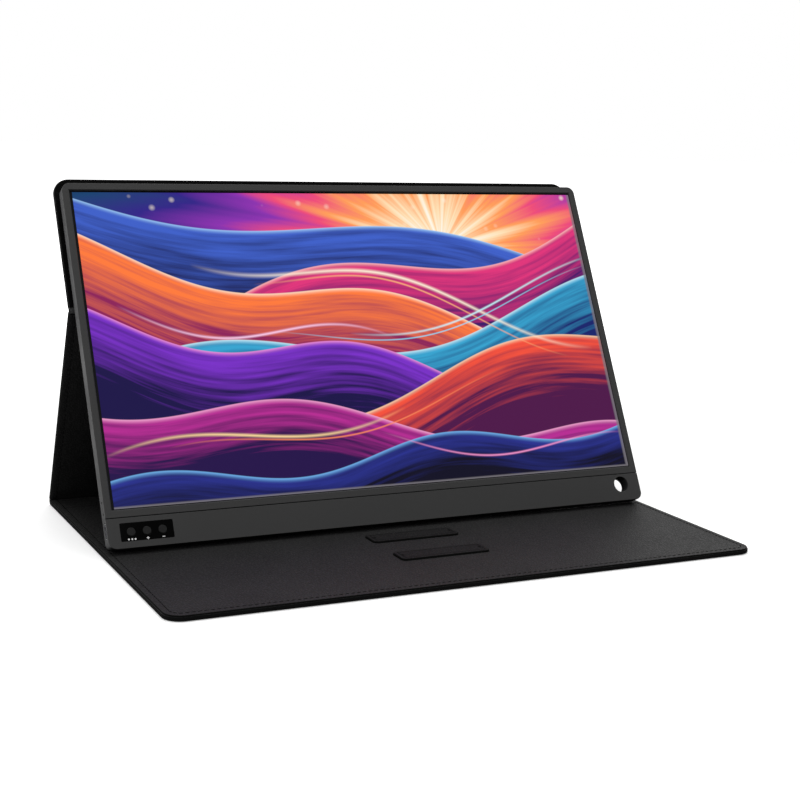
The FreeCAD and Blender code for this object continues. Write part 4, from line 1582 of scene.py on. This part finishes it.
@dataclass
class FoldingCover:
    """The whole cover: three panels, two stop bars, and the leather strips at the two folds."""

    corner: float = 10.0 * MM
    base_plump: float = 0.28 * MM
    strip_inset: float = 0.3 * MM

    def build(self, materials: dict[str, Material]) -> None:
        """Make all the pieces of the cover.

        Args:
            materials: Materials by the names of their finishes.
        """
        skin, ink = materials["cover_leather"], materials["edge_ink"]
        thread, shaded = materials["sewing_thread"], materials["shaded_leather"]
        # the leg and the upper panel get darker copies of the lining: painted shade
        for panel, lining in zip(self.panels(), ("lining_leather", "shaded_leather",
                                                 "shade_painted_leather")):
            panel.build(skin, materials[lining], ink, thread)
        for place in ("rear", "front"):
            StopBar(place).build(shaded, ink, thread)
        for strip in self.strips():
            strip.build(skin, ink)

    def panels(self) -> list[LeatherPanel]:
        """Lay out the panels.

        Returns:
            The base, the leg and the upper panel.
        """
        spine = (BASE.extent("base_board")[1].y + BASE.extent("spine_board")[0].y) / 2
        return [
            LeatherPanel("base", "base", BASE, SewnEnd.LOW, self.corner,
                         ("base_board", "spine_board"), spine, plump=self.base_plump),
            LeatherPanel("leg", "leg", LEG, SewnEnd.NEITHER, 0.0, ("leg_board",)),
            LeatherPanel("upper", "monitor", UPPER, SewnEnd.HIGH, self.corner, ("upper_board",)),
        ]

    def strips(self) -> list[FoldStrip]:
        """Lay out the strips.

        Returns:
            The strips of the rear and the upper fold.
        """
        corner = BASE.extent("base_skin")[1]
        half_width = corner.x - self.strip_inset
        leg_low, leg_high = LEG.extent("leg_skin")
        upper_low = UPPER.extent("upper_skin")[0]
        return [
            FoldStrip("rear_fold_leather", "rear_fold", ("base", "leg"), BASE.at(0, corner.y, 0),
                      REAR_AXIS, LEG.at(0, leg_low.y, 0), half_width),
            FoldStrip("upper_fold_leather", "upper_fold", ("leg", "monitor"),
                      LEG.at(0, leg_high.y, 0), UPPER_AXIS, UPPER.at(0, upper_low.y, 0),
                      half_width),
        ]


@dataclass
class ButtonMarks:
    """The printed marks under the three buttons: dots for the menu, a plus and a minus."""

    drop: float = 4.25 * MM
    ink: float = 0.04 * MM
    dot: tuple[float, float] = (1.0 * MM, 1.0 * MM)
    dot_pitch: float = 1.9 * MM
    stroke: tuple[float, float] = (1.6 * MM, 0.42 * MM)
    roundness: float = 0.4
    round_steps: int = 3

    def build(self, print_white: Material) -> Object:
        """Make the marks.

        Args:
            print_white: Material of the print.

        Returns:
            The piece that holds all the marks, riding on the monitor.
        """
        bm = bmesh.new()
        for node, strokes in (
                ("menu_button", [(step * self.dot_pitch, *self.dot) for step in (-1, 0, 1)]),
                ("plus_button", [(0, *self.stroke), (0, *reversed(self.stroke))]),
                ("minus_button", [(0, *self.stroke)])):
            low, high = SCREEN.extent(node)
            middle = (low + high) / 2
            for x, length, width in strokes:
                place = Vector((middle.x + x, middle.y - self.drop, self.ink / 2))
                self.print_stroke(bm, place, length, width)
        piece = to_piece(bm, "button_marks", [print_white], SCREEN.matrix)
        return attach(piece, "monitor")

    def print_stroke(self, bm: BMesh, place: Vector, length: float, width: float) -> None:
        """Print one stroke with rounded ends.

        Args:
            bm: Mesh of the marks.
            place: Middle of the stroke.
            length: Its length across.
            width: Its width up the monitor.
        """
        shape = Matrix.Translation(place) @ Matrix.Diagonal((length, width, self.ink, 1.0))
        made = bmesh.ops.create_cube(bm, size=1.0, matrix=shape)["verts"]
        upright = [e for e in dict.fromkeys(edge for v in made for edge in v.link_edges)
                   if abs(e.verts[0].co.z - e.verts[1].co.z) > self.ink / 2]
        bevel(bm, upright, min(length, width) * self.roundness, self.round_steps)


@dataclass(frozen=True)
class Lamp:
    """One soft studio lamp, aimed at the monitor."""

    name: str
    place: Triple
    size: float
    power: float

    def hang(self, target: Vector) -> None:
        """Hang the lamp.

        Args:
            target: Where it is aimed.
        """
        light = bpy.data.lights.new(self.name, "AREA")
        light.shape = "DISK"
        light.size = self.size
        light.energy = self.power
        lamp = link(self.name, light)
        lamp.location = self.place
        aim = target - Vector(self.place)
        lamp.rotation_euler = aim.to_track_quat("-Z", "Y").to_euler()


@dataclass
class Studio:
    """The pale floor, the soft light and the camera."""

    ambient: float = 0.5
    floor_radius: float = 12.0
    floor_drop: float = 0.2 * MM
    floor_colour: Colour = (0.82, 0.82, 0.82, 1.0)
    floor_roughness: float = 0.9
    floor_white: float = 0.35
    white_from: Range = (0.45, 1.0)
    camera_place: Triple = (-0.39107, -0.81295, 0.24392)
    azimuth: float = math.radians(-25.969)
    elevation: float = math.radians(10.320)
    roll: float = math.radians(1.623)
    lens: float = 68.61
    sensor: float = 36.0
    target: Triple = (0.0, 0.0, 0.08)
    lamps: tuple[Lamp, ...] = (
        Lamp("top_lamp", (0.2, 0.5, 1.8), 2.4, 28.0),
        Lamp("front_lamp", (-0.5, -1.7, 1.4), 2.0, 10.0),
        Lamp("side_lamp", (-1.7, -0.4, 0.8), 1.2, 5.0),
    )

    def build(self) -> None:
        """Set up the whole studio."""
        scene = bpy.context.scene
        scene.view_settings.view_transform = "Standard"
        self.lay_floor()
        self.light_world()
        for lamp in self.lamps:
            lamp.hang(Vector(self.target))
        scene.camera = self.place_camera()

    @staticmethod
    def seen_directly(graph: Graph) -> NodeSocket:
        """Mark rays from the camera, from mirrors and through clear pieces.

        Args:
            graph: Graph of the floor or the world.

        Returns:
            1 for such a ray, and 0 for one that lights a piece.
        """
        path = graph.add("ShaderNodeLightPath").outputs
        direct = graph.math("MAXIMUM", path["Is Camera Ray"], path["Is Glossy Ray"])
        return graph.math("MAXIMUM", direct, path["Is Transmission Ray"])

    def lay_floor(self) -> None:
        """Lay a pale floor that reads as white and keeps the part's shadow."""
        bm = bmesh.new()
        bmesh.ops.create_circle(bm, cap_ends=True, segments=64, radius=self.floor_radius)
        mesh = to_mesh(bm, "floor")
        floor = link("floor", mesh)
        floor.location.z = -self.floor_drop
        look = Look("floor", self.floor_colour, self.floor_roughness, specular=0.0)
        away = look.measure("LENGTH", look.point)
        glow = look.span(away, self.white_from, (self.floor_white, 1.0), soft=True)
        look.give("Emission Color", WHITE)
        look.give("Emission Strength", look.math("MULTIPLY", self.seen_directly(look), glow))
        mesh.materials.append(look.material)

    def light_world(self) -> None:
        """Make the world white to look at and softer as a light."""
        world = bpy.data.worlds.new("studio")
        world.use_nodes = True
        bpy.context.scene.world = world
        graph = Graph(world.node_tree)
        background = world.node_tree.nodes["Background"]
        background.inputs["Color"].default_value = WHITE
        strength = graph.span(self.seen_directly(graph), FULL, (self.ambient, 1.0))
        graph.feed(background.inputs["Strength"], strength)

    def place_camera(self) -> Object:
        """Place the camera at the photograph's angle.

        Returns:
            The camera.
        """
        level = math.cos(self.elevation)
        right = Vector((math.cos(self.azimuth), math.sin(self.azimuth), 0))
        back = Vector((right.y * level, -right.x * level, math.sin(self.elevation)))
        turn = Matrix((right, back.cross(right), back)).transposed().to_4x4()
        roll = Matrix.Rotation(self.roll, 4, "Z")
        camera = link("camera", bpy.data.cameras.new("camera"))
        camera.data.lens = self.lens
        camera.data.sensor_width = self.sensor
        camera.matrix_world = Matrix.Translation(self.camera_place) @ turn @ roll
        return camera


# Name, colour, roughness, specular level, and the second colour of those that have one.
FINISHES = (
    LeatherFinish("cover_leather", paint("#101010"), 0.5, 0.2, paint("#242424")),
    LeatherFinish("lining_leather", paint("#101010"), 0.5, 0.11, paint("#212121")),
    # near-black copy of the lining for the upper panel: painted shade where its lining lies in shadow
    LeatherFinish("shade_painted_leather", paint("#040404"), 0.7, 0.02, paint("#0a0a0a")),
    # darker copy of the lining: painted shade on the leg's lining under the monitor; also the stop bars' leather
    LeatherFinish("shaded_leather", paint("#0a0a0a"), 0.5, 0.07, paint("#1a1a1a")),
    MouldedFinish("edge_ink", paint("#0a0a0a"), 0.85, 0.03, pits=1500.0, depth=0.02 * MM),
    ThreadFinish("sewing_thread", paint("#050505"), 0.8, 0.02, paint("#0d0d0d")),
    MouldedFinish("white_print", paint("#e4e4e4"), 0.5, 0.3),
    FibreFinish("cover_board", paint("#6d655b"), 0.85, 0.1, paint("#9a9082")),
    MetalFinish("magnet_steel", paint("#c2c2c4"), 0.32),
    CaseFinish("case_plastic", paint("#2a2a2b"), 0.55, 0.12),
    CaseFinish("bezel_plastic", paint("#343434"), 0.55, 0.12),
    MouldedFinish("window_gloss", paint("#010101"), 0.14, 0.02, pits=600.0, depth=0.002 * MM),
    MouldedFinish("button_plastic", paint("#191919"), 0.5, 0.08),
    ScreenFinish("screen_glass", paint("#060608"), 0.35, 0.06,
                 depth=SCREEN.extent("lcd_glass")[1].z),
    MouldedFinish("black_tape", paint("#0c0c0c"), 0.9, 0.1, pits=1400.0, depth=0.08 * MM),
    MouldedFinish("clear_sheet", paint("#e6e8ec"), 0.3, 0.5, pits=5000.0, depth=0.01 * MM),
    MouldedFinish("white_plastic", paint("#ececea"), 0.6, 0.3),
    MetalFinish("tray_metal", paint("#cfcfd2"), 0.38),
    BoardFinish("circuit_board", paint("#0d4a2a"), 0.4, 0.4, paint("#1c6b40")),
    MouldedFinish("chip_black", paint("#1a1a1a"), 0.6, 0.3),
    MetalFinish("port_steel", paint("#c8c8cc"), 0.28),
    FilmFinish("film_amber", paint("#a8671e"), 0.35, 0.4, paint("#d09a4a")),
)


def dress_nodes(materials: dict[str, Material]) -> None:
    """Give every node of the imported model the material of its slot.

    Args:
        materials: Material of each slot.
    """
    for row in frame["record"]["subparts"]:
        node = frame["nodes"][row["node"]]
        node.data.materials.clear()
        node.data.materials.append(materials[row["material_slot"]])
        LOG.info("%s: %s", row["node"], row["material_slot"])


def main() -> None:
    """Make the finishes, and build the cover, the marks and the studio, in that order."""
    logging.basicConfig(level=logging.INFO, format="%(message)s")
    materials = {finish.name: finish.make() for finish in FINISHES}
    dress_nodes(materials)
    FoldingCover().build(materials)
    ButtonMarks().build(materials["white_print"])
    Studio().build()


if __name__ == "__main__":
    main()
